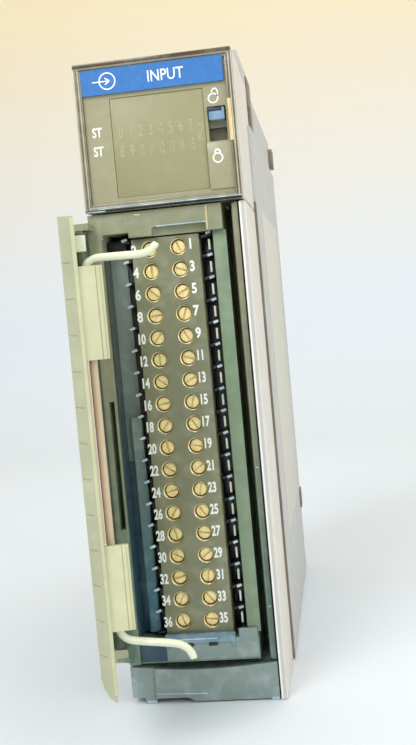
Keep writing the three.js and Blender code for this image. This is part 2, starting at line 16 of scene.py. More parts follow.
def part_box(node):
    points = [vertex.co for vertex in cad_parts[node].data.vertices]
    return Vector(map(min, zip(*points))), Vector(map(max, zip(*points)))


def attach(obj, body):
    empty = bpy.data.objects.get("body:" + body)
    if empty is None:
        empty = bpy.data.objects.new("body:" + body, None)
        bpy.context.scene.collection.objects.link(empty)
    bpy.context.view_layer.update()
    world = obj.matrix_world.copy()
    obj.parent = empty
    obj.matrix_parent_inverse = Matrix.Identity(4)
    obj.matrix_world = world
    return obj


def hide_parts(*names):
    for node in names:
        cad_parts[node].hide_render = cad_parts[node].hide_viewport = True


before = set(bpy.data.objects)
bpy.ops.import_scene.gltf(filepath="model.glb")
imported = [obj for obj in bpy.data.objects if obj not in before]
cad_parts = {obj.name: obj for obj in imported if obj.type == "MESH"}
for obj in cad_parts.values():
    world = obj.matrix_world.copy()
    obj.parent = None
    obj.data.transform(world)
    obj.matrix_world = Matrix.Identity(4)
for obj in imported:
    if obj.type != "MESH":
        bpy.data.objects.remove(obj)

LOG = logging.getLogger("module_looks")
MM = 0.001
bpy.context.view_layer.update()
CAP_SHARE = 0.69
MERGE = 2e-6
UPRIGHT = Matrix.Rotation(math.radians(90), 4, "X")
INTO_BLOCK = Matrix.Rotation(math.radians(-90), 4, "X")

Colour = tuple[float, float, float]


class Body(Enum):
    """The moving bodies that pieces ride on."""

    CASE = "case"
    LEVER = "lock_lever"
    TOP_LATCH = "top_latch"
    BOTTOM_LATCH = "bottom_latch"
    TERMINALS = "terminal_unit"
    DOOR = "door"
    BAIL = "bail"


def srgb(red: int, green: int, blue: int) -> Colour:
    """Turns an 8-bit display colour into linear light.

    Args:
        red: Red from 0 to 255.
        green: Green from 0 to 255.
        blue: Blue from 0 to 255.

    Returns:
        The linear colour.
    """
    def linear(value: int) -> float:
        share = value / 255
        return share / 12.92 if share <= 0.04045 else ((share + 0.055) / 1.055) ** 2.4

    return linear(red), linear(green), linear(blue)


# ---- Finishes -----------------------------------------------------------------------------
class Graph:
    """A material's node tree with short calls for the nodes that the finishes share."""

    def __init__(self, name: str) -> None:
        """Starts an empty material.

        Args:
            name: Name of the material.
        """
        self.material = bpy.data.materials.new(name)
        self.material.use_nodes = True
        self.tree = self.material.node_tree
        self.shader = self.tree.nodes["Principled BSDF"]
        self.place = self.tree.nodes.new("ShaderNodeTexCoord").outputs["Object"]

    def link(self, source: bpy.types.NodeSocket, target: bpy.types.NodeSocket) -> None:
        """Joins two sockets."""
        self.tree.links.new(source, target)

    def noise(self, size: float, detail: float = 4.0,
              stretch: Colour = (1, 1, 1)) -> bpy.types.NodeSocket:
        """Adds cloudy noise.

        Args:
            size: Width of a blotch in metres.
            detail: Octaves of finer noise.
            stretch: Scale of the pattern along each axis.

        Returns:
            The noise value's socket.
        """
        mapping = self.tree.nodes.new("ShaderNodeMapping")
        mapping.inputs["Scale"].default_value = stretch
        self.link(self.place, mapping.inputs["Vector"])
        node = self.tree.nodes.new("ShaderNodeTexNoise")
        node.inputs["Scale"].default_value = 1.0 / size
        node.inputs["Detail"].default_value = detail
        self.link(mapping.outputs["Vector"], node.inputs["Vector"])
        return node.outputs["Fac"]

    def span(self, source: bpy.types.NodeSocket, low: float, high: float,
             cut: tuple[float, float] = (0.3, 0.7)) -> bpy.types.NodeSocket:
        """Maps a value onto a range.

        Args:
            source: Value to map.
            low: Result at the lower cut.
            high: Result at the upper cut.
            cut: The two input values that are mapped.

        Returns:
            The mapped value's socket.
        """
        node = self.tree.nodes.new("ShaderNodeMapRange")
        node.inputs["From Min"].default_value = cut[0]
        node.inputs["From Max"].default_value = cut[1]
        node.inputs["To Min"].default_value = low
        node.inputs["To Max"].default_value = high
        self.link(source, node.inputs["Value"])
        return node.outputs["Result"]

    def mix(self, factor: bpy.types.NodeSocket, first: Colour | bpy.types.NodeSocket,
            second: Colour | bpy.types.NodeSocket) -> bpy.types.NodeSocket:
        """Mixes two colours.

        Args:
            factor: Share of the second colour.
            first: Colour or socket at factor 0.
            second: Colour or socket at factor 1.

        Returns:
            The mixed colour's socket.
        """
        node = self.tree.nodes.new("ShaderNodeMix")
        node.data_type = "RGBA"
        self.link(factor, node.inputs["Factor"])
        for name, value in (("A", first), ("B", second)):
            socket = next(s for s in node.inputs if s.name == name and s.type == "RGBA")
            if isinstance(value, bpy.types.NodeSocket):
                self.link(value, socket)
            else:
                socket.default_value = (*value, 1.0)
        return next(s for s in node.outputs if s.type == "RGBA")

    def bump(self, height: bpy.types.NodeSocket, distance: float, strength: float = 0.5) -> None:
        """Roughens the surface by a height value.

        Args:
            height: Height from 0 to 1.
            distance: Height of the relief in metres.
            strength: Share of the relief that is used.
        """
        node = self.tree.nodes.new("ShaderNodeBump")
        node.inputs["Distance"].default_value = distance
        node.inputs["Strength"].default_value = strength
        self.link(height, node.inputs["Height"])
        self.link(node.outputs["Normal"], self.shader.inputs["Normal"])


@dataclass(frozen=True)
class Plastic:
    """Moulded plastic: a base colour, cloudy unevenness, settled dust, a spark-eroded grain and,
    given a foot colour, painted shade that turns it darker and bluer towards the bottom.
    """

    name: str
    colour: Colour
    dust: Colour
    dust_share: float = 0.25
    mottle: float = 0.12
    roughness: float = 0.42
    grain: float = 0.35 * MM
    relief: float = 0.02 * MM
    gloss_coat: float = 0.0
    # foot: painted shade, a darker and bluer colour that takes over towards the bottom; fade: the
    # heights in metres over which it does.
    foot: Colour | None = None
    fade: tuple[float, float] = (0.0, 1.0)

    def material(self) -> bpy.types.Material:
        """Builds the node material.

        Returns:
            The finished material.
        """
        graph = Graph(self.name)
        shader = graph.shader
        shade = tuple(c * (1 - self.mottle) for c in self.colour)
        lift = tuple(min(1.0, c * (1 + self.mottle)) for c in self.colour)
        cloud = graph.noise(9 * MM, 5)
        body = graph.mix(graph.span(cloud, 0, 1), shade, lift)
        settled = graph.span(graph.noise(3.1 * MM, 9), 0, self.dust_share, (0.48, 0.75))
        # Painted shade: blend towards the foot colour low down.
        if self.foot:
            split = graph.tree.nodes.new("ShaderNodeSeparateXYZ")
            graph.link(graph.place, split.inputs["Vector"])
            body = graph.mix(graph.span(split.outputs["Z"], 1, 0, self.fade), body, self.foot)
        graph.link(graph.mix(settled, body, self.dust), shader.inputs["Base Color"])
        rough = graph.span(graph.noise(5 * MM, 6), self.roughness - 0.07, self.roughness + 0.09)
        graph.link(rough, shader.inputs["Roughness"])
        shader.inputs["Coat Weight"].default_value = self.gloss_coat
        shader.inputs["Coat Roughness"].default_value = 0.12
        graph.bump(graph.noise(self.grain, 2), self.relief)
        return graph.material


@dataclass(frozen=True)
class Metal:
    """Plated metal with fine turning or rolling marks and a dull tarnish."""

    name: str
    colour: Colour
    tarnish: Colour
    tarnish_share: float = 0.5
    roughness: float = 0.3
    stretch: Colour = (1, 1, 1)
    metallic: float = 0.55

    def material(self) -> bpy.types.Material:
        """Builds the node material.

        Returns:
            The finished material.
        """
        graph = Graph(self.name)
        shader = graph.shader
        shader.inputs["Metallic"].default_value = self.metallic
        dull = graph.span(graph.noise(1.1 * MM, 8), 0, self.tarnish_share, (0.42, 0.72))
        graph.link(graph.mix(dull, self.colour, self.tarnish), shader.inputs["Base Color"])
        marks = graph.noise(0.22 * MM, 3, self.stretch)
        graph.link(graph.span(marks, self.roughness - 0.1, self.roughness + 0.16),
                   shader.inputs["Roughness"])
        graph.bump(marks, 0.015 * MM)
        return graph.material


@dataclass(frozen=True)
class Ink:
    """Printed ink: one colour with thin patches where the pad lifted."""

    name: str
    colour: Colour
    thin: Colour
    thin_share: float = 0.35
    roughness: float = 0.5

    def material(self) -> bpy.types.Material:
        """Builds the node material.

        Returns:
            The finished material.
        """
        graph = Graph(self.name)
        patch = graph.span(graph.noise(0.8 * MM, 5), 0, self.thin_share, (0.5, 0.7))
        graph.link(graph.mix(patch, self.colour, self.thin), graph.shader.inputs["Base Color"])
        graph.link(graph.span(graph.noise(0.5 * MM, 3), self.roughness - 0.1, self.roughness + 0.1),
                   graph.shader.inputs["Roughness"])
        graph.bump(graph.noise(0.15 * MM, 2), 0.01 * MM)
        return graph.material


@dataclass(frozen=True)
class Laminate:
    """Solder-masked circuit board with faint copper tracks under the mask."""

    name: str
    colour: Colour
    track: Colour

    def material(self) -> bpy.types.Material:
        """Builds the node material.

        Returns:
            The finished material.
        """
        graph = Graph(self.name)
        brick = graph.tree.nodes.new("ShaderNodeTexBrick")
        brick.inputs["Scale"].default_value = 260.0
        brick.inputs["Mortar Size"].default_value = 0.03
        graph.link(graph.place, brick.inputs["Vector"])
        cloud = graph.span(graph.noise(4 * MM, 4), 0, 0.6)
        board = graph.mix(cloud, self.colour, tuple(c * 0.6 for c in self.colour))
        colour = graph.mix(brick.outputs["Fac"], board, self.track)
        graph.link(colour, graph.shader.inputs["Base Color"])
        graph.link(graph.span(graph.noise(1 * MM, 4), 0.25, 0.45), graph.shader.inputs["Roughness"])
        graph.bump(brick.outputs["Fac"], 0.03 * MM)
        return graph.material


@dataclass(frozen=True)
class Backdrop:
    """Pale paper sweep, warmer towards the top."""

    name: str
    low: Colour
    high: Colour
    fade: tuple[float, float]

    def material(self) -> bpy.types.Material:
        """Builds the node material.

        Returns:
            The finished material.
        """
        graph = Graph(self.name)
        split = graph.tree.nodes.new("ShaderNodeSeparateXYZ")
        graph.link(graph.place, split.inputs["Vector"])
        height = graph.span(split.outputs["Z"], 0, 1, self.fade)
        graph.link(graph.mix(height, self.low, self.high), graph.shader.inputs["Base Color"])
        graph.shader.inputs["Roughness"].default_value = 0.9
        graph.bump(graph.noise(2 * MM, 4), 0.02 * MM, 0.2)
        return graph.material


class Palette:
    """Every finish on the module, built once each."""

    DUST = srgb(196, 196, 176)
    FINISHES = {
        "case": Plastic("lilac_case", srgb(186, 186, 181), srgb(205, 200, 188), dust_share=0.3,
                        mottle=0.04, roughness=0.5),
        "band": Plastic("cream_front_band", srgb(214, 208, 196), srgb(226, 220, 206),
                        dust_share=0.3, mottle=0.04, roughness=0.45),
        "white_edge": Plastic("white_edge", srgb(234, 230, 226), srgb(246, 244, 240),
                              dust_share=0.4, mottle=0.03, roughness=0.35),
        # Painted shade in the side's seam groove; also the real brownish grey of the rail tabs.
        "seam": Plastic("seam_shade_and_tab_brown", srgb(126, 114, 98), srgb(160, 150, 134), dust_share=0.3,
                        mottle=0.2, roughness=0.5),
        "olive": Plastic("olive_moulding", srgb(140, 143, 113), DUST, dust_share=0.2, mottle=0.07,
                         roughness=0.34, foot=srgb(102, 124, 106), fade=(0.02, 0.075)),
        "rim": Plastic("rim_moulding", srgb(132, 130, 104), DUST, dust_share=0.16, mottle=0.1,
                       roughness=0.34, foot=srgb(84, 104, 94), fade=(0.03, 0.09)),
        # Painted shade: tan for the shaded inner rib and the bail's middle.
        "tan_shade": Plastic("painted_tan_shade", srgb(198, 178, 148), srgb(214, 198, 168),
                             dust_share=0.3, mottle=0.08, roughness=0.42),
        # Painted shade for the hinge flange and the door's knuckles.
        "hollow": Plastic("hinge_painted_shade", srgb(66, 78, 58), srgb(130, 134, 108), dust_share=0.2,
                          mottle=0.2, roughness=0.45),
        # Painted shade: a darker cream for scored grooves and folds.
        "groove_shade": Plastic("painted_groove_shade", srgb(150, 144, 108), DUST, dust_share=0.2,
                              mottle=0.08, roughness=0.45),
        # Near-white for the real clamp edges, which paints their glint.
        "clamp_glint": Plastic("clamp_edge_painted_glint", srgb(222, 224, 206), srgb(250, 250, 238), dust_share=0.5,
                          mottle=0.08, roughness=0.2),
        "lever_shade": Plastic("lever_shade", srgb(34, 44, 54), srgb(80, 96, 110), dust_share=0.3,
                               mottle=0.15, roughness=0.3),
        "olive_green": Plastic("green_olive_moulding", srgb(118, 138, 110), DUST, dust_share=0.18,
                               mottle=0.08, roughness=0.34),
        "olive_deep": Plastic("deep_olive_moulding", srgb(120, 122, 94), DUST, dust_share=0.2,
                              mottle=0.08, roughness=0.38),
        "bezel": Plastic("smoked_bezel", srgb(138, 134, 112), DUST, dust_share=0.25, mottle=0.1,
                         roughness=0.22, gloss_coat=0.6),
        "bezel_dark": Plastic("dark_bezel_rim", srgb(78, 62, 38), DUST, dust_share=0.2, mottle=0.2,
                              roughness=0.25, gloss_coat=0.5),
        # Painted highlight: pale lines for light caught on the bezel's edges.
        "bezel_highlight": Plastic("painted_bezel_highlight", srgb(196, 190, 160), srgb(236, 232, 214),
                               dust_share=0.6, mottle=0.1, roughness=0.3, gloss_coat=0.4),
        # Amber for the strip by the lever, and painted highlights on the terminal ledge.
        "amber": Plastic("amber_strip_and_ledge_highlight", srgb(218, 194, 140), srgb(244, 232, 192),
                         dust_share=0.5, mottle=0.1, roughness=0.2, gloss_coat=0.6),
        "display": Plastic("display_khaki", srgb(156, 152, 118), DUST, dust_share=0.12, mottle=0.04,
                           roughness=0.3, gloss_coat=0.3),
        "window": Plastic("display_window", srgb(152, 147, 110), DUST, dust_share=0.1, mottle=0.03,
                          roughness=0.42),
        # Black plastic of the combs and connectors; also painted shade under the display head, at
        # the channel's top and in the bridge notches.
        "black": Plastic("black_moulding_and_painted_shade", srgb(12, 16, 18), srgb(96, 112, 118), dust_share=0.12,
                         mottle=0.3, roughness=0.26),
        # Painted highlight: pale blue-white for thin lines of light on edges and fin tips; also the
        # chin's grey feet.
        "fin": Plastic("painted_pale_highlight", srgb(158, 182, 190), srgb(232, 240, 243), dust_share=0.8,
                       mottle=0.2, roughness=0.25),
        # Painted shade: blue-black for the channel's shaded side wall and the shade beside the lower
        # bridge.
        "channel": Plastic("painted_channel_shade", srgb(74, 80, 70), srgb(120, 140, 145),
                           dust_share=0.2, mottle=0.25, roughness=0.32, foot=srgb(38, 68, 82),
                           fade=(0.035, 0.085)),
        "channel_floor": Plastic("dusty_channel", srgb(138, 152, 142), srgb(196, 204, 196),
                                 dust_share=0.35, mottle=0.15, roughness=0.4,
                                 foot=srgb(58, 118, 134), fade=(0.02, 0.07)),
        "chin": Plastic("charcoal_moulding", srgb(122, 138, 132), srgb(186, 200, 204),
                        dust_share=0.32, mottle=0.09, roughness=0.24, gloss_coat=0.5),
        # Blue-grey that paints the sheen on the glossy lower bridge.
        "bridge": Plastic("blue_grey_painted_sheen", srgb(90, 124, 138), srgb(196, 212, 220),
                          dust_share=0.35, mottle=0.12, roughness=0.26, gloss_coat=0.4),
        "cream": Plastic("cream_moulding", srgb(186, 186, 146), srgb(208, 206, 172), dust_share=0.3,
                         mottle=0.05, roughness=0.38),
        "cream_grip": Plastic("grip_moulding", srgb(166, 168, 138), srgb(190, 192, 160),
                              dust_share=0.3, mottle=0.06, roughness=0.42),
        "cream_light": Plastic("bail_moulding", srgb(214, 216, 186), srgb(236, 236, 214),
                               dust_share=0.4, mottle=0.05, roughness=0.3, gloss_coat=0.3),
        "lever": Plastic("lever_blue", srgb(112, 146, 170), srgb(206, 222, 230), dust_share=0.3,
                         mottle=0.15, roughness=0.25, gloss_coat=0.5),
        "brass": Metal("brass_screw", srgb(250, 234, 172), srgb(206, 170, 104), tarnish_share=0.4,
                       roughness=0.32, metallic=0.28),
        "brass_ring": Metal("brass_collar", srgb(226, 214, 168), srgb(150, 120, 70),
                            tarnish_share=0.5, roughness=0.3),
        "steel": Metal("drawn_steel", srgb(214, 218, 220), srgb(130, 132, 135), tarnish_share=0.4,
                       roughness=0.3, stretch=(1, 1, 0.1)),
        "white_ink": Ink("white_ink", srgb(236, 238, 232), srgb(200, 202, 188)),
        "faint_ink": Ink("faint_ink", srgb(172, 168, 128), srgb(158, 153, 114)),
        "blue_label": Ink("blue_label", srgb(50, 114, 182), srgb(68, 130, 192), thin_share=0.5,
                          roughness=0.35),
        "card": Ink("paper_card", srgb(206, 203, 190), srgb(192, 190, 178), thin_share=0.5,
                    roughness=0.7),
        "board": Laminate("board_mask", srgb(40, 96, 62), srgb(70, 130, 84)),
    }
    _made: dict[str, bpy.types.Material] = {}

    @classmethod
    def get(cls, key: str) -> bpy.types.Material:
        """Returns the finish of that key, built on first use.

        Args:
            key: A key of FINISHES.

        Returns:
            The material.
        """
        if key not in cls._made:
            cls._made[key] = cls.FINISHES[key].material()
        return cls._made[key]


# ---- Mesh tools ---------------------------------------------------------------------------
def finish_mesh(bm: bmesh.types.BMesh, name: str, key: str,
                smooth_angle: float = 35.0) -> bpy.types.Object:
    """Turns a bmesh into a linked object with outward faces and a finish.

    Args:
        bm: The bmesh, which is freed.
        name: Name of the object.
        key: Finish key of the palette.
        smooth_angle: Faces that meet at less than this many degrees shade smoothly.

    Returns:
        The object.
    """
    bmesh.ops.remove_doubles(bm, verts=bm.verts, dist=1e-6)
    bmesh.ops.recalc_face_normals(bm, faces=bm.faces)
    mesh = bpy.data.meshes.new(name)
    bm.to_mesh(mesh)
    bm.free()
    mesh.shade_smooth()
    mesh.set_sharp_from_angle(angle=math.radians(smooth_angle))
    piece = bpy.data.objects.new(name, mesh)
    bpy.context.scene.collection.objects.link(piece)
    mesh.materials.append(Palette.get(key))
    return piece


def add_block(bm: bmesh.types.BMesh, low: Vector, high: Vector, radius: float = 0.0,
              segments: int = 2, turn: Matrix | None = None) -> list[bmesh.types.BMVert]:
    """Adds a box with rounded edges.

    Args:
        bm: The bmesh to add to.
        low: Lowest corner.
        high: Highest corner.
        radius: Edge radius, or 0 for sharp edges.
        segments: Faces across each rounded edge.
        turn: Rotation about the box's middle.

    Returns:
        The box's vertices.
    """
    low, high = Vector(low), Vector(high)
    middle = (low + high) / 2
    made = bmesh.ops.create_cube(bm, size=1.0)["verts"]
    bmesh.ops.scale(bm, vec=high - low, verts=made)
    if radius > 0:
        edges = list({e for v in made for e in v.link_edges})
        out = bmesh.ops.bevel(bm, geom=edges, offset=radius, offset_type="OFFSET",
                              segments=segments, profile=0.5, affect="EDGES", material=-1,
                              clamp_overlap=True)
        made = list({v for f in out["faces"] for v in f.verts} | {v for v in made if v.is_valid})
        linked = {v for v in made}
        for vert in list(linked):
            linked.update(v for f in vert.link_faces for v in f.verts)
        made = list(linked)
    if turn is not None:
        bmesh.ops.rotate(bm, cent=(0, 0, 0), matrix=turn, verts=made)
    bmesh.ops.translate(bm, vec=middle, verts=made)
    return made


def add_turned(bm: bmesh.types.BMesh, outline: list[tuple[float, float]], steps: int,
               place: Matrix) -> list[bmesh.types.BMVert]:
    """Adds a turned shape: an outline of radius and height spun round its axis.

    Args:
        bm: The bmesh to add to.
        outline: Points as (radius, height) that start and end on the axis.
        steps: Faces round the axis.
        place: Moves the shape, whose axis is +Z, to where it goes.

    Returns:
        The shape's vertices.
    """
    made = [bm.verts.new((radius, 0, height)) for radius, height in outline]
    edges = [bm.edges.new(pair) for pair in zip(made, made[1:])]
    before = set(bm.verts) - set(made)
    bmesh.ops.spin(bm, geom=made + edges, cent=(0, 0, 0), axis=(0, 0, 1), angle=2 * math.pi,
                   steps=steps, use_merge=True)
    new = [v for v in bm.verts if v not in before]
    bmesh.ops.remove_doubles(bm, verts=new, dist=1e-7)
    new = [v for v in bm.verts if v not in before]
    bmesh.ops.transform(bm, matrix=place, verts=new)
    return new


def add_ring(bm: bmesh.types.BMesh, low: Vector, high: Vector, border: float,
             radius: float = 0.0) -> None:
    """Adds a rectangular frame that is open from front to back.

    Args:
        bm: The bmesh to add to.
        low: Lowest corner.
        high: Highest corner.
        border: Width of the frame's bars, in X and Z.
        radius: Radius of the frame's long edges.
    """
    low, high = Vector(low), Vector(high)
    for left, right in ((low.x, low.x + border), (high.x - border, high.x)):
        add_block(bm, (left, low.y, low.z), (right, high.y, high.z), radius)
    for foot, top in ((low.z, low.z + border), (high.z - border, high.z)):
        add_block(bm, (low.x + border, low.y, foot), (high.x - border, high.y, top), radius)


def carve(piece: bpy.types.Object, cutter: bpy.types.Object) -> bpy.types.Object:
    """Cuts one object's shape out of another and removes the cutter.

    Args:
        piece: The object to cut.
        cutter: The closed shape to take away.

    Returns:
        The cut piece.
    """
    cut = piece.modifiers.new("cut", "BOOLEAN")
    cut.operation = "DIFFERENCE"
    cut.solver = "EXACT"
    cut.object = cutter
    bake(piece)
    bpy.data.objects.remove(cutter)
    return piece


def bake(piece: bpy.types.Object) -> bpy.types.Object:
    """Applies a piece's modifiers to its mesh.

    Args:
        piece: The object.

    Returns:
        The same object with a plain mesh.
    """
    bpy.context.view_layer.update()
    graph = bpy.context.evaluated_depsgraph_get()
    mesh = bpy.data.meshes.new_from_object(piece.evaluated_get(graph))
    mesh.name = piece.name
    piece.modifiers.clear()
    piece.data = mesh
    return piece


def round_edges(piece: bpy.types.Object, width: float, segments: int = 2,
                angle: float = 32.0) -> None:
    """Rounds a piece's sharp edges with a live bevel.

    Args:
        piece: The object.
        width: Width of the rounding.
        segments: Faces across it.
        angle: Edges sharper than this many degrees are rounded.
    """
    bevel = piece.modifiers.new("edges", "BEVEL")
    bevel.width = width
    bevel.segments = segments
    bevel.limit_method = "ANGLE"
    bevel.angle_limit = math.radians(angle)
    bevel.harden_normals = True
    bevel.use_clamp_overlap = True


def copy_of_node(node: str, key: str, width: float = 0.25 * MM,
                 segments: int = 2) -> bpy.types.Object:
    """Makes a round-edged copy of a CAD node.

    Args:
        node: Name of the CAD node.
        key: Finish key of the palette.
        width: Width of the edge rounding.
        segments: Faces across it.

    Returns:
        The copy, which doesn't yet ride on a body.
    """
    bm = bmesh.new()
    bm.from_mesh(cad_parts[node].data)
    bmesh.ops.remove_doubles(bm, verts=bm.verts, dist=MERGE)
    piece = finish_mesh(bm, f"{node}_moulding", key)
    if width > 0:
        round_edges(piece, width, segments)
    return piece


def settle(piece: bpy.types.Object, body: Body, slot: str, *nodes: str) -> bpy.types.Object:
    """Hangs a finished piece on its body and reports it.

    Args:
        piece: The object.
        body: Body that it moves with.
        slot: Not used.
        *nodes: CAD nodes that the piece stands for.

    Returns:
        The same object.
    """
    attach(piece, body.value)
    if nodes:
        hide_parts(*nodes)
    LOG.info("%s rides on %s", piece.name, body.value)
    return piece


def block_piece(name: str, key: str, body: Body, slot: str, *blocks: tuple) -> None:
    """Makes one piece from rounded boxes and hangs it on its body.

    Args:
        name: Name of the object.
        key: Finish key of the palette.
        body: Body that it moves with.
        slot: Handed to settle, which does not use it.
        *blocks: What add_block is given after the bmesh, for each box.
    """
    bm = bmesh.new()
    for block in blocks:
        add_block(bm, *block)
    settle(finish_mesh(bm, name, key), body, slot)


@dataclass
class Lettering:
    """Flat raised lettering, gathered from many words into one mesh."""

    name: str
    key: str
    rise: float = 0.05 * MM
    squeeze: float = 0.78
    bold: float = 0.0
    words: list[bpy.types.Mesh] = field(default_factory=list)

    def write(self, text: str, centre: Vector, height: float) -> None:
        """Adds a word that is read from the front.

        Args:
            text: The characters.
            centre: Middle of the word on the surface that carries it.
            height: Height of a capital letter.
        """
        curve = bpy.data.curves.new(self.name, "FONT")
        curve.body = text
        curve.size = height / CAP_SHARE
        curve.align_x = "CENTER"
        curve.align_y = "CENTER"
        curve.extrude = self.rise / 2
        curve.offset = self.bold
        curve.resolution_u = 3
        holder = bpy.data.objects.new(self.name, curve)
        bpy.context.scene.collection.objects.link(holder)
        bpy.context.view_layer.update()
        graph = bpy.context.evaluated_depsgraph_get()
        mesh = bpy.data.meshes.new_from_object(holder.evaluated_get(graph))
        bpy.data.objects.remove(holder)
        xs = [v.co.x for v in mesh.vertices]
        ys = [v.co.y for v in mesh.vertices]
        middle = Vector(((min(xs) + max(xs)) / 2, (min(ys) + max(ys)) / 2, 0))
        narrow = Matrix.Diagonal((self.squeeze, 1, 1, 1))
        mesh.transform(Matrix.Translation(centre) @ UPRIGHT @ narrow @ Matrix.Translation(-middle))
        self.words.append(mesh)

    def piece(self) -> bpy.types.Object:
        """Joins the words.

        Returns:
            The lettering as one object.
        """
        bm = bmesh.new()
        for mesh in self.words:
            bm.from_mesh(mesh)
        return finish_mesh(bm, self.name, self.key)


# ---- Display ------------------------------------------------------------------------------
@dataclass
class Display:
    """Bezel, khaki plate, window, blue type label, marks, digits and the lock lever."""

    step_width: float = 0.5 * MM
    rim_drop: float = 0.9 * MM
    window_spread: float = 0.26 * MM
    mark_rise: float = 0.05 * MM
    digit_height: float = 2.4 * MM
    digit_squeeze: float = 0.62
    pair_squeeze: float = 0.36
    status_height: float = 2.0 * MM
    first_digit: float = 1.6 * MM
    digit_pitch: float = 2.22 * MM
    # Painted highlight lines: offset from the nearer side, width and how proud.
    light_lines: tuple = ((0.2 * MM, 0.24 * MM, 0.1 * MM), (1.15 * MM, 0.16 * MM, 0.04 * MM),
                          (-0.78 * MM, 0.16 * MM, 0.05 * MM), (-0.12 * MM, 0.16 * MM, 0.06 * MM))
    dark_lines: tuple = ((0.75 * MM, 0.2 * MM, 0.03 * MM), (-0.45 * MM, 0.22 * MM, 0.05 * MM),
                         (-1.15 * MM, 0.2 * MM, 0.03 * MM))
    upper_row: float = 15.4 * MM
    lower_row: float = 19.5 * MM
    status_left: float = -13.4 * MM
    status_drops: tuple = (14.9 * MM, 19.0 * MM)
    lock_middle: float = 12.7 * MM
    open_lock: float = 9.6 * MM
    closed_lock: float = 22.4 * MM

    def build(self) -> None:
        """Builds every piece of the display."""
        self.bezel()
        self.plate()
        self.label()
        self.digits()
        self.padlocks()
        self.lever()

    def bezel(self) -> None:
        """Outer frame with a stepped, darker inner edge, a dark top lip, a painted shadow along its
        lower lip and painted highlights on that lip.
        """
        settle(copy_of_node("front_bezel", "bezel", 0.35 * MM, 3), Body.CASE, "olive",
               "front_bezel")
        low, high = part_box("front_bezel")
        plate_low, plate_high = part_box("display_plate")
        gap = 0.12 * MM
        spread = 0.3 * MM
        bm = bmesh.new()
        add_ring(bm, (plate_low.x - spread, low.y + 0.45 * MM, plate_low.z - spread),
                 (plate_high.x + spread, plate_low.y - gap, plate_high.z + spread),
                 self.step_width, 0.08 * MM)
        settle(finish_mesh(bm, "bezel_inner_step", "bezel"), Body.CASE, "olive")
        block_piece("bezel_top_lip", "bezel_dark", Body.CASE, "olive_dark",
                    ((low.x + 0.2 * MM, low.y - 0.12 * MM, high.z - self.rim_drop),
                     (high.x - 0.2 * MM, low.y + 0.4 * MM, high.z - 0.1 * MM), 0.1 * MM))
        # Painted shadow: a black strip for the shadow gap under the display head.
        block_piece("bezel_lower_shadow", "black", Body.CASE, "chin",
                    ((low.x + 0.3 * MM, low.y - 0.12 * MM, low.z + 0.1 * MM),
                     (high.x - 0.3 * MM, low.y + 0.3 * MM, low.z + 0.65 * MM), 0.15 * MM))
        # Painted highlights along the lower lip.
        block_piece("bezel_lip_highlight", "fin", Body.CASE, "chin",
                    ((low.x + 3.0 * MM, low.y - 0.2 * MM, low.z + 0.62 * MM),
                     (high.x - 0.3 * MM, low.y + 0.2 * MM, low.z + 0.84 * MM), 0.08 * MM),
                    ((low.x + 0.3 * MM, low.y - 0.2 * MM, low.z + 0.1 * MM),
                     (low.x + 4.6 * MM, low.y + 0.2 * MM, low.z + 0.34 * MM), 0.08 * MM))
        self.edge_lines(low, high)

    def edge_lines(self, low: Vector, high: Vector) -> None:
        """Painted highlight lines and dark seams down the bezel's sides, and the amber strip by the
        lever.

        Args:
            low: Lowest corner of the bezel.
            high: Highest corner of the bezel.
        """
        for name, key, lines in (("bezel_side_highlights", "bezel_highlight", self.light_lines),
                                 ("bezel_seams", "bezel_dark", self.dark_lines)):
            bm = bmesh.new()
            for offset, width, proud in lines:
                middle = (low.x if offset > 0 else high.x) + offset
                add_block(bm, (middle - width / 2, low.y - proud, low.z + 0.5 * MM),
                          (middle + width / 2, low.y + 0.5 * MM, high.z - 1.1 * MM), 0.06 * MM)
            settle(finish_mesh(bm, name, key), Body.CASE, "olive")
        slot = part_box("lock_lever")
        block_piece("amber_strip", "amber", Body.CASE, "brass",
                    ((high.x - 1.75 * MM, low.y - 0.1 * MM, slot[0].z - 3.4 * MM),
                     (high.x - 0.95 * MM, low.y + 1.2 * MM, slot[1].z + 0.6 * MM), 0.2 * MM, 3))

    def plate(self) -> None:
        """Khaki plate, its window and the raised panel under the lever slot."""
        settle(copy_of_node("display_plate", "display", 0.15 * MM), Body.CASE, "display",
               "display_plate")
        low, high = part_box("indicator_window")
        bm = bmesh.new()
        spread = self.window_spread
        add_block(bm, (low.x - spread, low.y, low.z - spread),
                  (high.x + spread, high.y, high.z + spread), 0.12 * MM, 2)
        settle(finish_mesh(bm, "window_pane", "window"), Body.CASE, "display", "indicator_window")
        low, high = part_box("display_plate")
        lever_low, lever_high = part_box("lock_lever")
        block_piece("lock_panel", "display", Body.CASE, "display",
                    ((lever_low.x + 0.5 * MM, low.y - 0.3 * MM, low.z + 1.0 * MM),
                     (high.x - 0.1 * MM, low.y - 0.05 * MM, high.z - 18.2 * MM), 0.08 * MM))

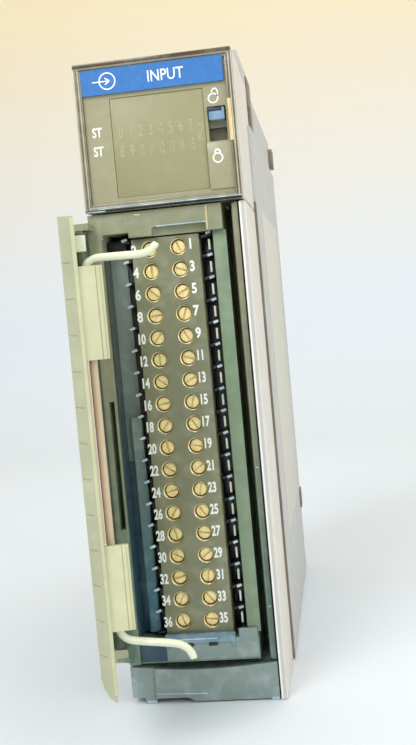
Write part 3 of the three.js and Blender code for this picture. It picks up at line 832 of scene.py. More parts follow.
    def label(self) -> None:
        """Blue label with the arrow-into-circle mark and a generic word."""
        piece = copy_of_node("type_label", "blue_label", 0.08 * MM)
        settle(piece, Body.CASE, "blue_label", "type_label")
        low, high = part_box("type_label")
        face = low.y - self.mark_rise / 2
        middle = (low.z + high.z) / 2
        centre = Vector((low.x + 5.9 * MM, face, middle))
        bm = bmesh.new()
        self.flat_loop(bm, centre, 1.75 * MM, 0.3 * MM, 40)
        add_block(bm, (centre.x - 3.3 * MM, face - 0.02 * MM, middle - 0.14 * MM),
                  (centre.x + 0.5 * MM, face + 0.03 * MM, middle + 0.14 * MM))
        tip = centre + Vector((0.6 * MM, 0, 0))
        for way in (1, -1):
            slant = Matrix.Rotation(math.radians(32 * way), 3, "Y")
            made = add_block(bm, (-1.3 * MM, -0.025 * MM, -0.14 * MM),
                             (0.05 * MM, 0.025 * MM, 0.14 * MM))
            bmesh.ops.rotate(bm, cent=(0, 0, 0), matrix=slant, verts=made)
            bmesh.ops.translate(bm, vec=tip, verts=made)
        settle(finish_mesh(bm, "input_mark", "white_ink"), Body.CASE, "card")
        word = Lettering("type_word", "white_ink", squeeze=0.82, bold=0.03 * MM)
        word.write("INPUT", Vector((2.9 * MM, face, middle)), 2.4 * MM)
        settle(word.piece(), Body.CASE, "card")

    @staticmethod
    def flat_loop(bm: bmesh.types.BMesh, centre: Vector, radius: float, width: float, steps: int,
                  start: float = 0.0, sweep: float = 360.0, stretch: float = 1.0) -> None:
        """Adds a flat ring or arc that faces the front.

        Args:
            bm: The bmesh to add to.
            centre: Middle of the ring.
            radius: Radius of the line's middle.
            width: Width of the line.
            steps: Faces along the line.
            start: Angle where it starts, in degrees from +X towards +Z.
            sweep: Degrees that it covers.
            stretch: Height of the ring as a share of its width.
        """
        first = Vector((math.cos(math.radians(start)), 0, math.sin(math.radians(start))))
        half = 0.025 * MM
        corners = [bm.verts.new(first * r + Vector((0, y, 0)))
                   for r, y in ((radius - width / 2, -half), (radius + width / 2, -half),
                                (radius + width / 2, half), (radius - width / 2, half))]
        face = bm.faces.new(corners)
        before = set(bm.verts) - set(corners)
        full = abs(sweep) >= 360
        bmesh.ops.spin(bm, geom=[face, *face.edges, *corners], cent=(0, 0, 0), axis=(0, -1, 0),
                       angle=math.radians(sweep), steps=steps, use_merge=full)
        if full and face.is_valid:
            bmesh.ops.delete(bm, geom=[face], context="FACES_ONLY")
        new = [v for v in bm.verts if v not in before]
        bmesh.ops.scale(bm, vec=(1, 1, stretch), verts=new)
        bmesh.ops.translate(bm, vec=centre, verts=new)

    def digits(self) -> None:
        """Two rows of channel numbers and the status words beside them."""
        low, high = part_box("indicator_window")
        face = low.y - 0.02 * MM
        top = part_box("front_bezel")[1].z
        faint = Lettering("channel_numbers", "faint_ink", squeeze=0.7, bold=0.05 * MM)
        for number in range(16):
            column = number % 8
            drop = self.upper_row if number < 8 else self.lower_row
            place = Vector((low.x + self.first_digit + column * self.digit_pitch, face, top - drop))
            faint.squeeze = self.digit_squeeze if number < 10 else self.pair_squeeze
            faint.write(str(number), place, self.digit_height)
        faint.squeeze = self.digit_squeeze
        for text, drop in (("O", 16.2 * MM), ("K", 18.2 * MM)):
            faint.write(text, Vector((high.x - 0.9 * MM, face, top - drop)), 1.7 * MM)
        settle(faint.piece(), Body.CASE, "display")
        plate_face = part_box("display_plate")[0].y - 0.02 * MM
        status = Lettering("status_words", "white_ink", squeeze=0.72, bold=0.08 * MM)
        for drop in self.status_drops:
            place = Vector((self.status_left, plate_face, top - drop))
            status.write("ST", place, self.status_height)
        settle(status.piece(), Body.CASE, "card")

    def padlocks(self) -> None:
        """Open padlock above the slot and closed padlock below it."""
        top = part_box("front_bezel")[1].z
        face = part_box("display_plate")[0].y
        bm = bmesh.new()
        for drop, is_open in ((self.open_lock, True), (self.closed_lock, False)):
            y = face - (0.02 * MM if is_open else 0.34 * MM)
            body = Vector((self.lock_middle, y, top - drop - 0.75 * MM))
            self.flat_loop(bm, body, 1.02 * MM, 0.34 * MM, 28, stretch=0.95)
            if is_open:
                bow = body + Vector((0.42 * MM, 0, 1.15 * MM))
                self.flat_loop(bm, bow, 0.66 * MM, 0.26 * MM, 20, -60, 250, 1.35)
            else:
                bow = body + Vector((0, 0, 0.98 * MM))
                self.flat_loop(bm, bow, 0.6 * MM, 0.36 * MM, 16, 0, 180, 1.3)
        settle(finish_mesh(bm, "padlock_marks", "white_ink"), Body.CASE, "card")

    def lever(self) -> None:
        """Sliding lock lever with a dark carrier and the khaki floor of its slot."""
        piece = copy_of_node("lock_lever", "lever", 0.2 * MM, 3)
        piece.data.materials.append(Palette.get("olive_deep"))
        plate_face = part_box("display_plate")[0].y
        low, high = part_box("lock_lever")
        for face in piece.data.polygons:
            if face.center.y > plate_face + 0.4 * MM:
                face.material_index = 1
        settle(piece, Body.LEVER, "lever", "lock_lever")
        bm = bmesh.new()
        top = high.z - 1.0 * MM
        add_block(bm, (low.x + 1.4 * MM, low.y - 0.15 * MM, top - 0.75 * MM),
                  (high.x - 1.4 * MM, low.y + 0.3 * MM, top - 0.02 * MM), 0.1 * MM, 2)
        settle(finish_mesh(bm, "lever_brow", "lever_shade"), Body.LEVER, "lever")
        block_piece("slot_floor", "olive_deep", Body.CASE, "display",
                    ((low.x, high.y + 0.15 * MM, low.z - 4.0 * MM),
                     (high.x, high.y + 0.5 * MM, high.z)))


# ---- Terminal unit ------------------------------------------------------------------------
@dataclass
class TerminalUnit:
    """Removable screw block: frame, drilled block, screws, combs, clamp edges and numbers."""

    rows: int = 18
    hole_radius: float = 1.85 * MM
    hole_lip: float = 0.2 * MM
    head_radius: float = 1.5 * MM
    slot_width: float = 0.46 * MM
    number_height: float = 2.15 * MM
    fin_thick: float = 0.8 * MM
    comb_spread: float = 0.5 * MM
    left_slant: float = 8.0
    right_slant: float = 16.0
    arch_left: float = -3.4 * MM
    arch_right: float = 8.6 * MM
    arch_rise: float = 2.1 * MM
    channel_step: float = 50 * MM
    channel_top: float = 2.4 * MM
    wall_left: float = -17.4 * MM
    ear_height: float = 5.0 * MM

    def __post_init__(self) -> None:
        """Reads the screws' places and the rows' pitch from the frame."""
        self.screws = []
        for number in range(1, 2 * self.rows + 1):
            low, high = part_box(f"terminal_screw_{number:02d}")
            self.screws.append((number, (low + high) / 2, low.y))
        self.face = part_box("terminal_block")[0].y
        self.top_row = self.screws[0][1].z
        self.pitch = (self.top_row - self.screws[-1][1].z) / (self.rows - 1)

    def hole_place(self, middle: Vector) -> Matrix:
        """Returns the place of a hole's mouth, with +Z into the block."""
        return Matrix.Translation((middle.x, self.face, middle.z)) @ INTO_BLOCK

    def build(self) -> None:
        """Builds every piece of the unit."""
        self.frame_parts()
        self.block()
        self.brass_screws()
        self.combs()
        self.numbers()

    def frame_parts(self) -> None:
        """Outer frame with an arched ledge, its painted highlights, painted shade over the hinge
        flange, the channel and the lower bridge.
        """
        low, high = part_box("terminal_frame")
        block_low, block_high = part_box("terminal_block")
        frame_front = self.face - 2.0 * MM
        arch_top = block_high.z + self.arch_rise
        piece = copy_of_node("terminal_frame", "olive", 0.0)
        bm = bmesh.new()
        add_block(bm, (self.arch_left, frame_front - 1 * MM, block_high.z - 1 * MM),
                  (self.arch_right, frame_front + 1.7 * MM, arch_top), 0.5 * MM, 3)
        piece.data.materials.append(Palette.get("cream_grip"))
        piece = carve(piece, finish_mesh(bm, "arch_cutter", "bridge"))
        ear_top = low.z + self.ear_height
        for face in piece.data.polygons:
            if face.center.x < self.wall_left - 0.1 * MM and face.center.z < ear_top:
                face.material_index = 1
        round_edges(piece, 0.16 * MM)
        settle(piece, Body.TERMINALS, "olive", "terminal_frame")
        # Painted highlight along the top of the arch in the ledge.
        block_piece("arch_highlight", "fin", Body.TERMINALS, "olive",
                    ((self.arch_left + 1.2 * MM, frame_front - 0.1 * MM, arch_top - 0.02 * MM),
                     (self.arch_right + 0.2 * MM, frame_front + 0.4 * MM, arch_top + 0.26 * MM),
                     0.1 * MM))
        # Painted highlights: an amber line down the ledge's bright right edge and a tick on its top.
        block_piece("ledge_highlights", "amber", Body.TERMINALS, "olive",
                    ((self.arch_right + 0.2 * MM, frame_front - 0.1 * MM, block_high.z + 0.4 * MM),
                     (self.arch_right + 0.5 * MM, frame_front + 0.3 * MM, high.z - 0.2 * MM),
                     0.08 * MM),
                    ((-7.0 * MM, frame_front - 0.12 * MM, high.z - 1.0 * MM),
                     (-5.6 * MM, frame_front + 0.2 * MM, high.z - 0.6 * MM), 0.1 * MM))
        bm = bmesh.new()
        comb_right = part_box("wire_comb_right")
        add_block(bm, (comb_right[1].x + 0.35 * MM, frame_front + 1.5 * MM, block_low.z + 0.5 * MM),
                  (high.x + 0.5 * MM, frame_front + 2.2 * MM, block_high.z + 0.2 * MM), 0.12 * MM)
        settle(finish_mesh(bm, "right_strip", "olive_green"), Body.TERMINALS, "olive")
        # Painted shade: a dark green sheet over the hinge flange.
        block_piece("hinge_painted_shade", "hollow", Body.TERMINALS, "black",
                    ((low.x + 0.1 * MM, frame_front - 0.12 * MM, low.z + 5.4 * MM),
                     (self.wall_left - 0.2 * MM, frame_front + 0.5 * MM, high.z - 3.4 * MM),
                     0.1 * MM))
        self.channel()
        self.lower_bridge()

    def channel(self) -> None:
        """Lining of the wire channel: dusty floor, lighter foot, and a blue-black side and black top
        block that paint the shade inside it.
        """
        block_low, block_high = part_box("terminal_block")
        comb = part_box("wire_comb_left")
        left = comb[0].x - 4.45 * MM
        right = comb[0].x - 0.15 * MM
        floor = self.face + 4.2 * MM
        block_piece("channel_floor", "channel_floor", Body.TERMINALS, "black",
                    ((left + 0.2 * MM, floor, block_low.z + 0.4 * MM),
                     (right, floor + 0.8 * MM, block_high.z - self.channel_top), 0.1 * MM),
                    ((left + 1.7 * MM, floor - 1.6 * MM, block_low.z + 0.4 * MM),
                     (right, floor + 0.2 * MM, block_low.z + self.channel_step), 0.3 * MM, 3))
        # Painted shade: a blue-black sheet on the channel's inner side wall.
        block_piece("channel_side_shade", "channel", Body.TERMINALS, "black",
                    ((left, self.face - 1.0 * MM, block_low.z - 0.1 * MM),
                     (left + 0.22 * MM, floor, block_high.z - self.channel_top)),
                    ((left + 0.2 * MM, floor - 0.5 * MM, block_low.z + 0.4 * MM),
                     (left + 1.6 * MM, floor + 0.1 * MM, block_high.z - self.channel_step),
                     0.1 * MM))
        # Painted shade: a black block for the deep shade at the channel's top.
        block_piece("channel_top_shade", "black", Body.TERMINALS, "black",
                    ((left + 0.05 * MM, floor - 1.2 * MM, block_high.z - self.channel_top),
                     (right, floor + 0.8 * MM, block_high.z + 0.2 * MM), 0.1 * MM))

    def lower_bridge(self) -> None:
        """Bridge under the last screws, blue-grey to paint the sheen on its glossy lip, with two
        feet, a painted highlight and painted shade in two notches.
        """
        block_low, block_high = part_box("terminal_block")
        front = self.face - 1.75 * MM
        z = block_low.z
        bm = bmesh.new()
        add_block(bm, (block_low.x - 0.3 * MM, front, z - 1.3 * MM),
                  (block_high.x + 0.5 * MM, front + 1.2 * MM, z + 1.0 * MM), 0.22 * MM, 3)
        for left in (block_low.x - 0.3 * MM, block_high.x - 0.5 * MM):
            add_block(bm, (left, front, z - 2.2 * MM),
                      (left + 1.0 * MM, front + 1.2 * MM, z - 0.9 * MM), 0.2 * MM, 3)
        settle(finish_mesh(bm, "lower_bridge", "bridge"), Body.TERMINALS, "chin")
        # Painted highlight along the bridge's lower edge.
        block_piece("bridge_highlight", "fin", Body.TERMINALS, "chin",
                    ((block_low.x + 3.0 * MM, front - 0.1 * MM, z - 0.35 * MM),
                     (block_high.x - 3.6 * MM, front + 0.3 * MM, z - 0.1 * MM), 0.08 * MM))
        # Painted shade: black patches that stand for the shade in the two notches.
        bm = bmesh.new()
        for middle in (block_low.x + 5.2 * MM, block_high.x - 4.6 * MM):
            add_block(bm, (middle - 1.0 * MM, front - 0.03 * MM, z - 1.9 * MM),
                      (middle + 1.0 * MM, front + 0.9 * MM, z - 0.9 * MM), 0.2 * MM, 2)
        settle(finish_mesh(bm, "bridge_notch_shade", "black"), Body.TERMINALS, "black")
        low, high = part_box("terminal_frame")
        lip = self.face - 1.3 * MM
        block_piece("lower_face", "chin", Body.TERMINALS, "chin",
                    ((block_low.x - 0.2 * MM, lip, low.z + 0.25 * MM),
                     (high.x - 0.2 * MM, lip + 0.8 * MM, z - 0.4 * MM), 0.3 * MM, 3),
                    ((block_high.x + 1.2 * MM, lip - 0.02 * MM, z - 1.6 * MM),
                     (high.x - 0.22 * MM, lip + 0.8 * MM, z + 1.6 * MM), 0.3 * MM, 3))
        block_piece("lower_shade", "channel", Body.TERMINALS, "black",
                    ((low.x + 2.0 * MM, lip + 0.03 * MM, low.z + 0.2 * MM),
                     (block_low.x - 0.1 * MM, lip + 0.8 * MM, z + 0.5 * MM), 0.2 * MM, 2))

    def block(self) -> None:
        """Drilled block with a chamfered mouth on each screw hole."""
        low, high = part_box("terminal_block")
        bm = bmesh.new()
        add_block(bm, low, high, 0.2 * MM)
        body = finish_mesh(bm, "screw_block", "olive_deep")
        bm = bmesh.new()
        deep = 8.2 * MM
        clear = -1 * MM
        mouth = self.hole_radius + self.hole_lip
        outline = [(0, deep), (self.hole_radius, deep), (self.hole_radius, self.hole_lip),
                   (mouth, 0), (mouth, clear), (0, clear)]
        for _, middle, _ in self.screws:
            add_turned(bm, outline, 32, self.hole_place(middle))
        cutter = finish_mesh(bm, "hole_cutter", "olive_deep")
        settle(carve(body, cutter), Body.TERMINALS, "olive_dark", "terminal_block")

    def brass_screws(self) -> None:
        """Slotted screws, each turned the way it was left."""
        head = self.head_radius
        outline = [(0, 0), (head * 0.62, 0.03 * MM), (head * 0.9, 0.12 * MM), (head, 0.35 * MM),
                   (head, 1.5 * MM), (head * 0.7, 1.55 * MM), (head * 0.7, 6.0 * MM), (0, 6.0 * MM)]
        bm = bmesh.new()
        add_turned(bm, outline, 36, INTO_BLOCK)
        pattern = finish_mesh(bm, "screw_pattern", "brass")
        bm = bmesh.new()
        add_block(bm, (-3 * MM, -1 * MM, -self.slot_width / 2),
                  (3 * MM, 0.75 * MM, self.slot_width / 2))
        carve(pattern, finish_mesh(bm, "slot_cutter", "brass"))
        bm = bmesh.new()
        names = []
        for number, middle, front in self.screws:
            mesh = pattern.data.copy()
            turn = Matrix.Rotation(math.radians((number * 67) % 180), 4, "Y")
            tip = Matrix.Rotation(math.radians(((number * 37) % 7 - 3) * 0.5), 4, "X")
            mesh.transform(Matrix.Translation((middle.x, front, middle.z)) @ tip @ turn)
            bm.from_mesh(mesh)
            names.append(f"terminal_screw_{number:02d}")
        bpy.data.objects.remove(pattern)
        settle(finish_mesh(bm, "terminal_screws", "brass"), Body.TERMINALS, "brass", *names)
        self.collars()

    def collars(self) -> None:
        """Bright clamp collars that line the screw holes just below their mouths."""
        outer = self.hole_radius + 0.02 * MM
        inner = self.hole_radius - 0.16 * MM
        outline = [(inner, 0.35 * MM), (outer, 0.25 * MM), (outer, 3.2 * MM), (inner, 3.2 * MM),
                   (inner, 0.35 * MM)]
        bm = bmesh.new()
        for _, middle, _ in self.screws:
            add_turned(bm, outline, 28, self.hole_place(middle))
        settle(finish_mesh(bm, "screw_collars", "brass_ring"), Body.TERMINALS, "brass")

    def combs(self) -> None:
        """Wire combs with slanted fins, painted highlights on the fin tips, and clamp edges behind
        the right one, painted near-white for their glint.
        """
        for node, slant in (("wire_comb_left", self.left_slant),
                            ("wire_comb_right", self.right_slant)):
            low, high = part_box(node)
            spine_front = high.y - 2.0 * MM
            bm = bmesh.new()
            spread = self.comb_spread if node == "wire_comb_left" else 0.0
            half = self.fin_thick * 0.4
            add_block(bm, (low.x - spread, spine_front, low.z), (high.x, high.y, high.z), 0.1 * MM)
            for row in range(self.rows + 1):
                z = min(high.z - self.fin_thick / 2,
                        self.top_row + self.pitch / 2 - row * self.pitch)
                turn = Matrix.Rotation(math.radians(-slant), 3, "Y")
                add_block(bm, (low.x + 0.05 * MM - spread, low.y + 0.1 * MM, z - half),
                          (high.x - 0.05 * MM, spine_front + 0.3 * MM, z + half), 0.2 * MM, 3, turn)
            piece = finish_mesh(bm, f"{node}_fins", "black")
            settle(piece, Body.TERMINALS, "black", node)
        low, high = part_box("wire_comb_right")
        # Clamp edges are real; their near-white colour paints the glint on their metal.
        bm = bmesh.new()
        for row in range(self.rows):
            z = self.top_row - row * self.pitch
            add_block(bm, (high.x - 1.05 * MM, low.y + 1.0 * MM, z - 1.3 * MM),
                      (high.x - 0.6 * MM, low.y + 3.0 * MM, z + 1.1 * MM), 0.08 * MM)
        settle(finish_mesh(bm, "clamp_edges", "clamp_glint"), Body.TERMINALS, "steel")
        # Painted highlights on the tips of the fins of both combs.
        bm = bmesh.new()
        left_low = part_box("wire_comb_left")[0]
        tilt = Matrix.Rotation(math.radians(-self.right_slant), 3, "Y")
        for row in range(self.rows):
            z = self.top_row + self.pitch / 2 - row * self.pitch
            add_block(bm, (low.x + 1.25 * MM, low.y - 0.12 * MM, z - 0.28 * MM),
                      (high.x - 0.15 * MM, low.y + 0.5 * MM, z + 0.3 * MM), 0.12 * MM, 2, tilt)
            add_block(bm, (left_low.x - 0.55 * MM, left_low.y - 0.12 * MM, z - 0.3 * MM),
                      (left_low.x + 0.75 * MM, left_low.y + 0.5 * MM, z + 0.3 * MM),
                      0.12 * MM, 2, tilt)
        settle(finish_mesh(bm, "fin_tip_highlights", "fin"), Body.TERMINALS, "black")

    def numbers(self) -> None:
        """Terminal numbers: odd on the right, even on the left."""
        ink = Lettering("terminal_numbers", "white_ink", squeeze=0.7, bold=0.11 * MM)
        y = self.face - 0.02 * MM
        for number, middle, _ in self.screws:
            if number % 2:
                place = Vector((middle.x + 2.75 * MM, y, middle.z + 0.4 * MM))
            else:
                place = Vector((middle.x - 3.45 * MM, y, middle.z))
            ink.squeeze = 0.8 if number < 10 else 0.62
            ink.write(str(number), place, self.number_height)
        settle(ink.piece(), Body.TERMINALS, "card")


# ---- Door and bail ------------------------------------------------------------------------
@dataclass
class Door:
    """Cream door with its ribbed grip, folded tabs, write-on card, hinge pin and wire bail."""

    open_angle: float = 76.0
    hinge: Vector = field(default_factory=lambda: Vector((-18.6 * MM, -61.6 * MM, 0)))
    width: float = 33.4 * MM
    outer: float = -2.6 * MM
    grip_face: float = -4.0 * MM
    grip_width: float = 2.4 * MM
    knuckle_reach: float = 1.75 * MM
    bail_elbow: float = 12 * MM
    inner: float = -0.74 * MM
    first_rib: float = 8.6 * MM
    rib_pitch: float = 6.75 * MM
    rib_width: float = 0.32 * MM
    rib_lean: float = 2.5
    rib_most: float = 26
    tabs: tuple = ((9.4 * MM, 17.6 * MM), (62.3 * MM, 16.4 * MM))

    def build(self) -> None:
        """Builds every piece of the door and the bail."""
        self.panel()
        settle(copy_of_node("door_label_card", "card", 0.08 * MM), Body.DOOR, "card",
               "door_label_card")
        settle(copy_of_node("hinge_pin", "steel", 0.1 * MM), Body.TERMINALS, "steel", "hinge_pin")
        self.grip_ribs()
        self.wire_bail()

    def from_closed(self) -> Matrix:
        """Returns the turn that carries the closed door's places to the stored pose."""
        swing = Matrix.Rotation(math.radians(-self.open_angle), 4, "Z")
        return Matrix.Translation(self.hinge) @ swing

    def panel(self) -> None:
        """Door moulding: cream panel, duller grip and painted shade on the hinge knuckles."""
        piece = copy_of_node("terminal_door", "cream", 0.25 * MM, 3)
        piece.data.materials.append(Palette.get("cream_grip"))
        piece.data.materials.append(Palette.get("hollow"))
        closed = self.from_closed().inverted()
        for face in piece.data.polygons:
            place = closed @ face.center
            # Painted shade on the hinge knuckle faces.
            if place.xy.length < self.knuckle_reach:
                face.material_index = 2
            elif place.x > self.width - self.grip_width - 0.1 * MM and place.y < -1.3 * MM:
                face.material_index = 1
        settle(piece, Body.DOOR, "cream", "terminal_door")

    def hang(self, bm: bmesh.types.BMesh, name: str, key: str) -> None:
        """Turns a shape made on the closed door to the stored pose and hangs it there.

        Args:
            bm: The shape, which is freed.
            name: Name of the object.
            key: Finish key of the palette.
        """
        bmesh.ops.transform(bm, matrix=self.from_closed(), verts=bm.verts)
        settle(finish_mesh(bm, name, key), Body.DOOR, "cream")

    def grip_ribs(self) -> None:
        """Painted shade in the scored lines across the grip and in the tabs' folds, and the bright
        edge line.
        """
        low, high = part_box("terminal_door")
        # Painted shade: darker lines in the scored grooves of the grip.
        bm = bmesh.new()
        half = self.rib_width / 2
        count = int((high.z - low.z - self.first_rib - 4 * MM) / self.rib_pitch)
        for index in range(count + 1):
            z = high.z - self.first_rib - index * self.rib_pitch
            slant = Matrix.Rotation(math.radians(-min(self.rib_most, self.rib_lean * index)), 3, "X")
            add_block(bm, (self.width - 1.6 * MM, self.grip_face + 0.1 * MM, z - half),
                      (self.width + 0.03 * MM, self.outer + 0.3 * MM, z + half), 0.08 * MM, 2, slant)
        self.hang(bm, "grip_score_shade", "groove_shade")
        bm = bmesh.new()
        add_block(bm, (self.width - 0.3 * MM, self.outer + 0.75 * MM, low.z + 1.2 * MM),
                  (self.width + 0.12 * MM, self.outer + 1.5 * MM, high.z - 0.3 * MM), 0.12 * MM, 2)
        for drop, tall in self.tabs:
            top = high.z - drop
            add_block(bm, (self.width - 0.75 * MM, 2.95 * MM, top - tall + 0.05 * MM),
                      (self.width - 0.4 * MM, 3.4 * MM, top - 0.05 * MM), 0.12 * MM, 2)
        self.hang(bm, "door_edge_beads", "cream")
        # Painted shade: the inner rib in tan, for the shade it lies in.
        bm = bmesh.new()
        add_block(bm, (self.width - 4.4 * MM, -1.35 * MM, low.z + 30.2 * MM),
                  (self.width - 0.35 * MM, self.inner, low.z + 64.8 * MM), 0.1 * MM, 2)
        self.hang(bm, "door_inner_rib", "tan_shade")
        bm = bmesh.new()
        add_block(bm, (self.width - 4.1 * MM, -1.3 * MM, high.z - 6.5 * MM),
                  (self.width - 3.1 * MM, 0.8 * MM, high.z - 3.4 * MM), 0.15 * MM, 2)
        self.hang(bm, "bail_stop", "cream_light")
        # Painted shade: darker lines in the tabs' folds.
        bm = bmesh.new()
        for drop, tall in self.tabs:
            top = high.z - drop
            add_block(bm, (self.width - 0.8 * MM, 2.05 * MM, top - tall + 0.1 * MM),
                      (self.width - 0.57 * MM, 2.2 * MM, top - 0.1 * MM))
        self.hang(bm, "tab_fold_shade", "groove_shade")

    def wire_bail(self) -> None:
        """Round moulded bail, smoothed from its CAD tube, with painted shade in tan along its
        middle.
        """
        piece = copy_of_node("wire_bail", "cream_light", 0.0)
        surface = piece.modifiers.new("round", "SUBSURF")
        surface.levels = surface.render_levels = 2
        piece.data.materials.append(Palette.get("tan_shade"))
        low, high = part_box("wire_bail")
        # Painted shade: the faces between the bail's elbows in tan.
        for face in piece.data.polygons:
            if low.z + self.bail_elbow < face.center.z < high.z - self.bail_elbow:
                face.material_index = 1
        settle(piece, Body.BAIL, "cream", "wire_bail")


# ---- Case ---------------------------------------------------------------------------------
@dataclass
class Case:
    """Lilac case with cover, lower cover, latches, boards and connectors."""

    pin_rows: int = 4
    pin_columns: int = 24
    seam_back: float = 26 * MM
    panel_rise: float = 0.8 * MM
    panel_top: float = 20.5 * MM
    upper_tab: float = 136 * MM
    lower_tab: float = 24 * MM
    rim_width: float = 1.5 * MM
    chin_step: float = 5.6 * MM

    def build(self) -> None:
        """Builds every piece of the case."""
        settle(copy_of_node("case_body", "case", 0.3 * MM), Body.CASE, "case", "case_body")
        settle(copy_of_node("case_cover", "case", 0.3 * MM), Body.CASE, "case", "case_cover")
        self.side_panel()
        settle(copy_of_node("pocket_frame", "olive", 0.25 * MM), Body.CASE, "olive", "pocket_frame")
        self.rim()
        self.chin()
        for node, body in (("top_latch", Body.TOP_LATCH), ("bottom_latch", Body.BOTTOM_LATCH)):
            settle(copy_of_node(node, "olive_deep", 0.3 * MM), body, "olive_dark", node)
        for node, key, slot in (("circuit_board", "board", "board"),
                                ("indicator_board", "board", "board"),
                                ("backplane_connector", "black", "black"),
                                ("field_header", "black", "black")):
            settle(copy_of_node(node, key, 0.2 * MM), Body.CASE, slot, node)
        self.connector_contacts()

    def side_panel(self) -> None:
        """Cream front band, painted shade in the seam groove and near the top of the side, raised
        lilac side panel with its card, and rail tabs.
        """
        low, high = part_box("case_cover")
        seam = low.y + self.seam_back
        bezel_low, bezel_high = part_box("front_bezel")
        block_piece("front_band", "band", Body.CASE, "case",
                    ((high.x - 0.2 * MM, low.y + 0.1 * MM, low.z + 0.2 * MM),
                     (high.x + 0.2 * MM, seam - 0.6 * MM, bezel_low.z - 0.5 * MM), 0.15 * MM, 3),
                    ((high.x - 0.2 * MM, bezel_low.y + 1.0 * MM, bezel_low.z + 0.2 * MM),
                     (high.x + 0.15 * MM, bezel_high.y - 0.1 * MM, bezel_high.z - 0.8 * MM),
                     0.15 * MM, 3),
                    ((high.x - 0.2 * MM, bezel_high.y + 0.5 * MM, bezel_low.z + 0.2 * MM),
                     (high.x + 0.15 * MM, seam + 6 * MM, bezel_high.z - 1.4 * MM), 0.15 * MM, 3))
        block_piece("front_white_edge", "white_edge", Body.CASE, "case",
                    ((high.x - 1.25 * MM, low.y - 0.08 * MM, low.z + 0.2 * MM),
                     (high.x - 0.8 * MM, low.y + 0.3 * MM, bezel_low.z - 0.5 * MM), 0.1 * MM, 2))
        out = high.x + self.panel_rise
        # Painted shade: a dark strip in the groove behind the front band and dark patches near the
        # top of the side.
        block_piece("side_seam_shade", "seam", Body.CASE, "olive_dark",
                    ((high.x - 0.2 * MM, seam, low.z + 0.3 * MM),
                     (out - 0.1 * MM, seam + 1.2 * MM, bezel_low.z + 2 * MM)),
                    ((high.x - 0.2 * MM, seam + 9 * MM, high.z - 18 * MM),
                     (out - 0.2 * MM, seam + 15 * MM, high.z - 9 * MM), 0.1 * MM),
                    ((high.x - 0.2 * MM, seam + 8 * MM, high.z - 9 * MM),
                     (high.x + 0.3 * MM, seam + 19 * MM, high.z - 1.6 * MM), 0.1 * MM))
        block_piece("side_panel", "case", Body.CASE, "case",
                    ((high.x - 0.2 * MM, seam + 0.9 * MM, low.z + 0.4 * MM),
                     (out, high.y - 0.4 * MM, bezel_low.z + self.panel_top), 0.3 * MM, 3))
        card_low, card_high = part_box("side_label")
        bm = bmesh.new()
        add_block(bm, (out - 0.05 * MM, card_low.y, card_low.z),
                  (out + 0.12 * MM, card_high.y, card_high.z), 0.05 * MM)
        settle(finish_mesh(bm, "side_card", "card"), Body.CASE, "card", "side_label")
        bm = bmesh.new()
        for z in (self.upper_tab, self.lower_tab):
            add_block(bm, (high.x - 0.2 * MM, high.y - 7 * MM, z - 3 * MM),
                      (out + 0.5 * MM, high.y - 0.6 * MM, z + 3 * MM), 0.2 * MM, 3)
        settle(finish_mesh(bm, "rail_tabs", "seam"), Body.CASE, "case")

    def rim(self) -> None:
        """Wide front flange of the pocket's right rim, with two painted highlight ticks."""
        low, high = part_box("pocket_frame")
        bm = bmesh.new()
        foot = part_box("lower_cover")[1].z + 0.4 * MM
        add_block(bm, (high.x - 1.0 * MM, low.y - 0.05 * MM, foot),
                  (high.x - 0.02 * MM, low.y + 1.3 * MM, high.z - 0.1 * MM), 0.2 * MM, 3)
        add_block(bm, (high.x - self.rim_width, low.y + 0.75 * MM, foot),
                  (high.x - 0.9 * MM, low.y + 1.8 * MM, high.z - 0.1 * MM), 0.2 * MM, 3)
        settle(finish_mesh(bm, "rim_flange", "rim"), Body.CASE, "olive")
        # Painted highlights: two small light ticks on the flange.
        bm = bmesh.new()
        for z in (21 * MM, 52 * MM):
            add_block(bm, (high.x - 0.9 * MM, low.y - 0.12 * MM, z - 0.12 * MM),
                      (high.x - 0.3 * MM, low.y + 0.2 * MM, z + 0.12 * MM), 0.05 * MM)
        settle(finish_mesh(bm, "rim_highlight_ticks", "fin"), Body.CASE, "olive")

    def chin(self) -> None:
        """Lower cover with a raised right-hand face, a painted highlight along its ledge line and
        grey feet.
        """
        settle(copy_of_node("lower_cover", "chin", 0.4 * MM, 4), Body.CASE, "chin", "lower_cover")
        low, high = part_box("lower_cover")
        step = low.x + self.chin_step
        bm = bmesh.new()
        bm.from_mesh(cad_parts["lower_cover"].data)
        bmesh.ops.remove_doubles(bm, verts=bm.verts, dist=MERGE)
        whole = list(bm.verts) + list(bm.edges) + list(bm.faces)
        bmesh.ops.bisect_plane(bm, geom=whole, plane_co=(step, 0, 0), plane_no=(1, 0, 0),
                               clear_inner=True)
        rest = list(bm.verts) + list(bm.edges) + list(bm.faces)
        bmesh.ops.bisect_plane(bm, geom=rest, plane_co=(0, low.y + 3 * MM, 0), plane_no=(0, 1, 0),
                               clear_outer=True)
        bmesh.ops.holes_fill(bm, edges=[e for e in bm.edges if e.is_boundary])
        bmesh.ops.translate(bm, vec=(0, -0.45 * MM, 0), verts=bm.verts)
        face = finish_mesh(bm, "chin_face", "chin")
        round_edges(face, 0.3 * MM, 3)
        settle(face, Body.CASE, "chin")
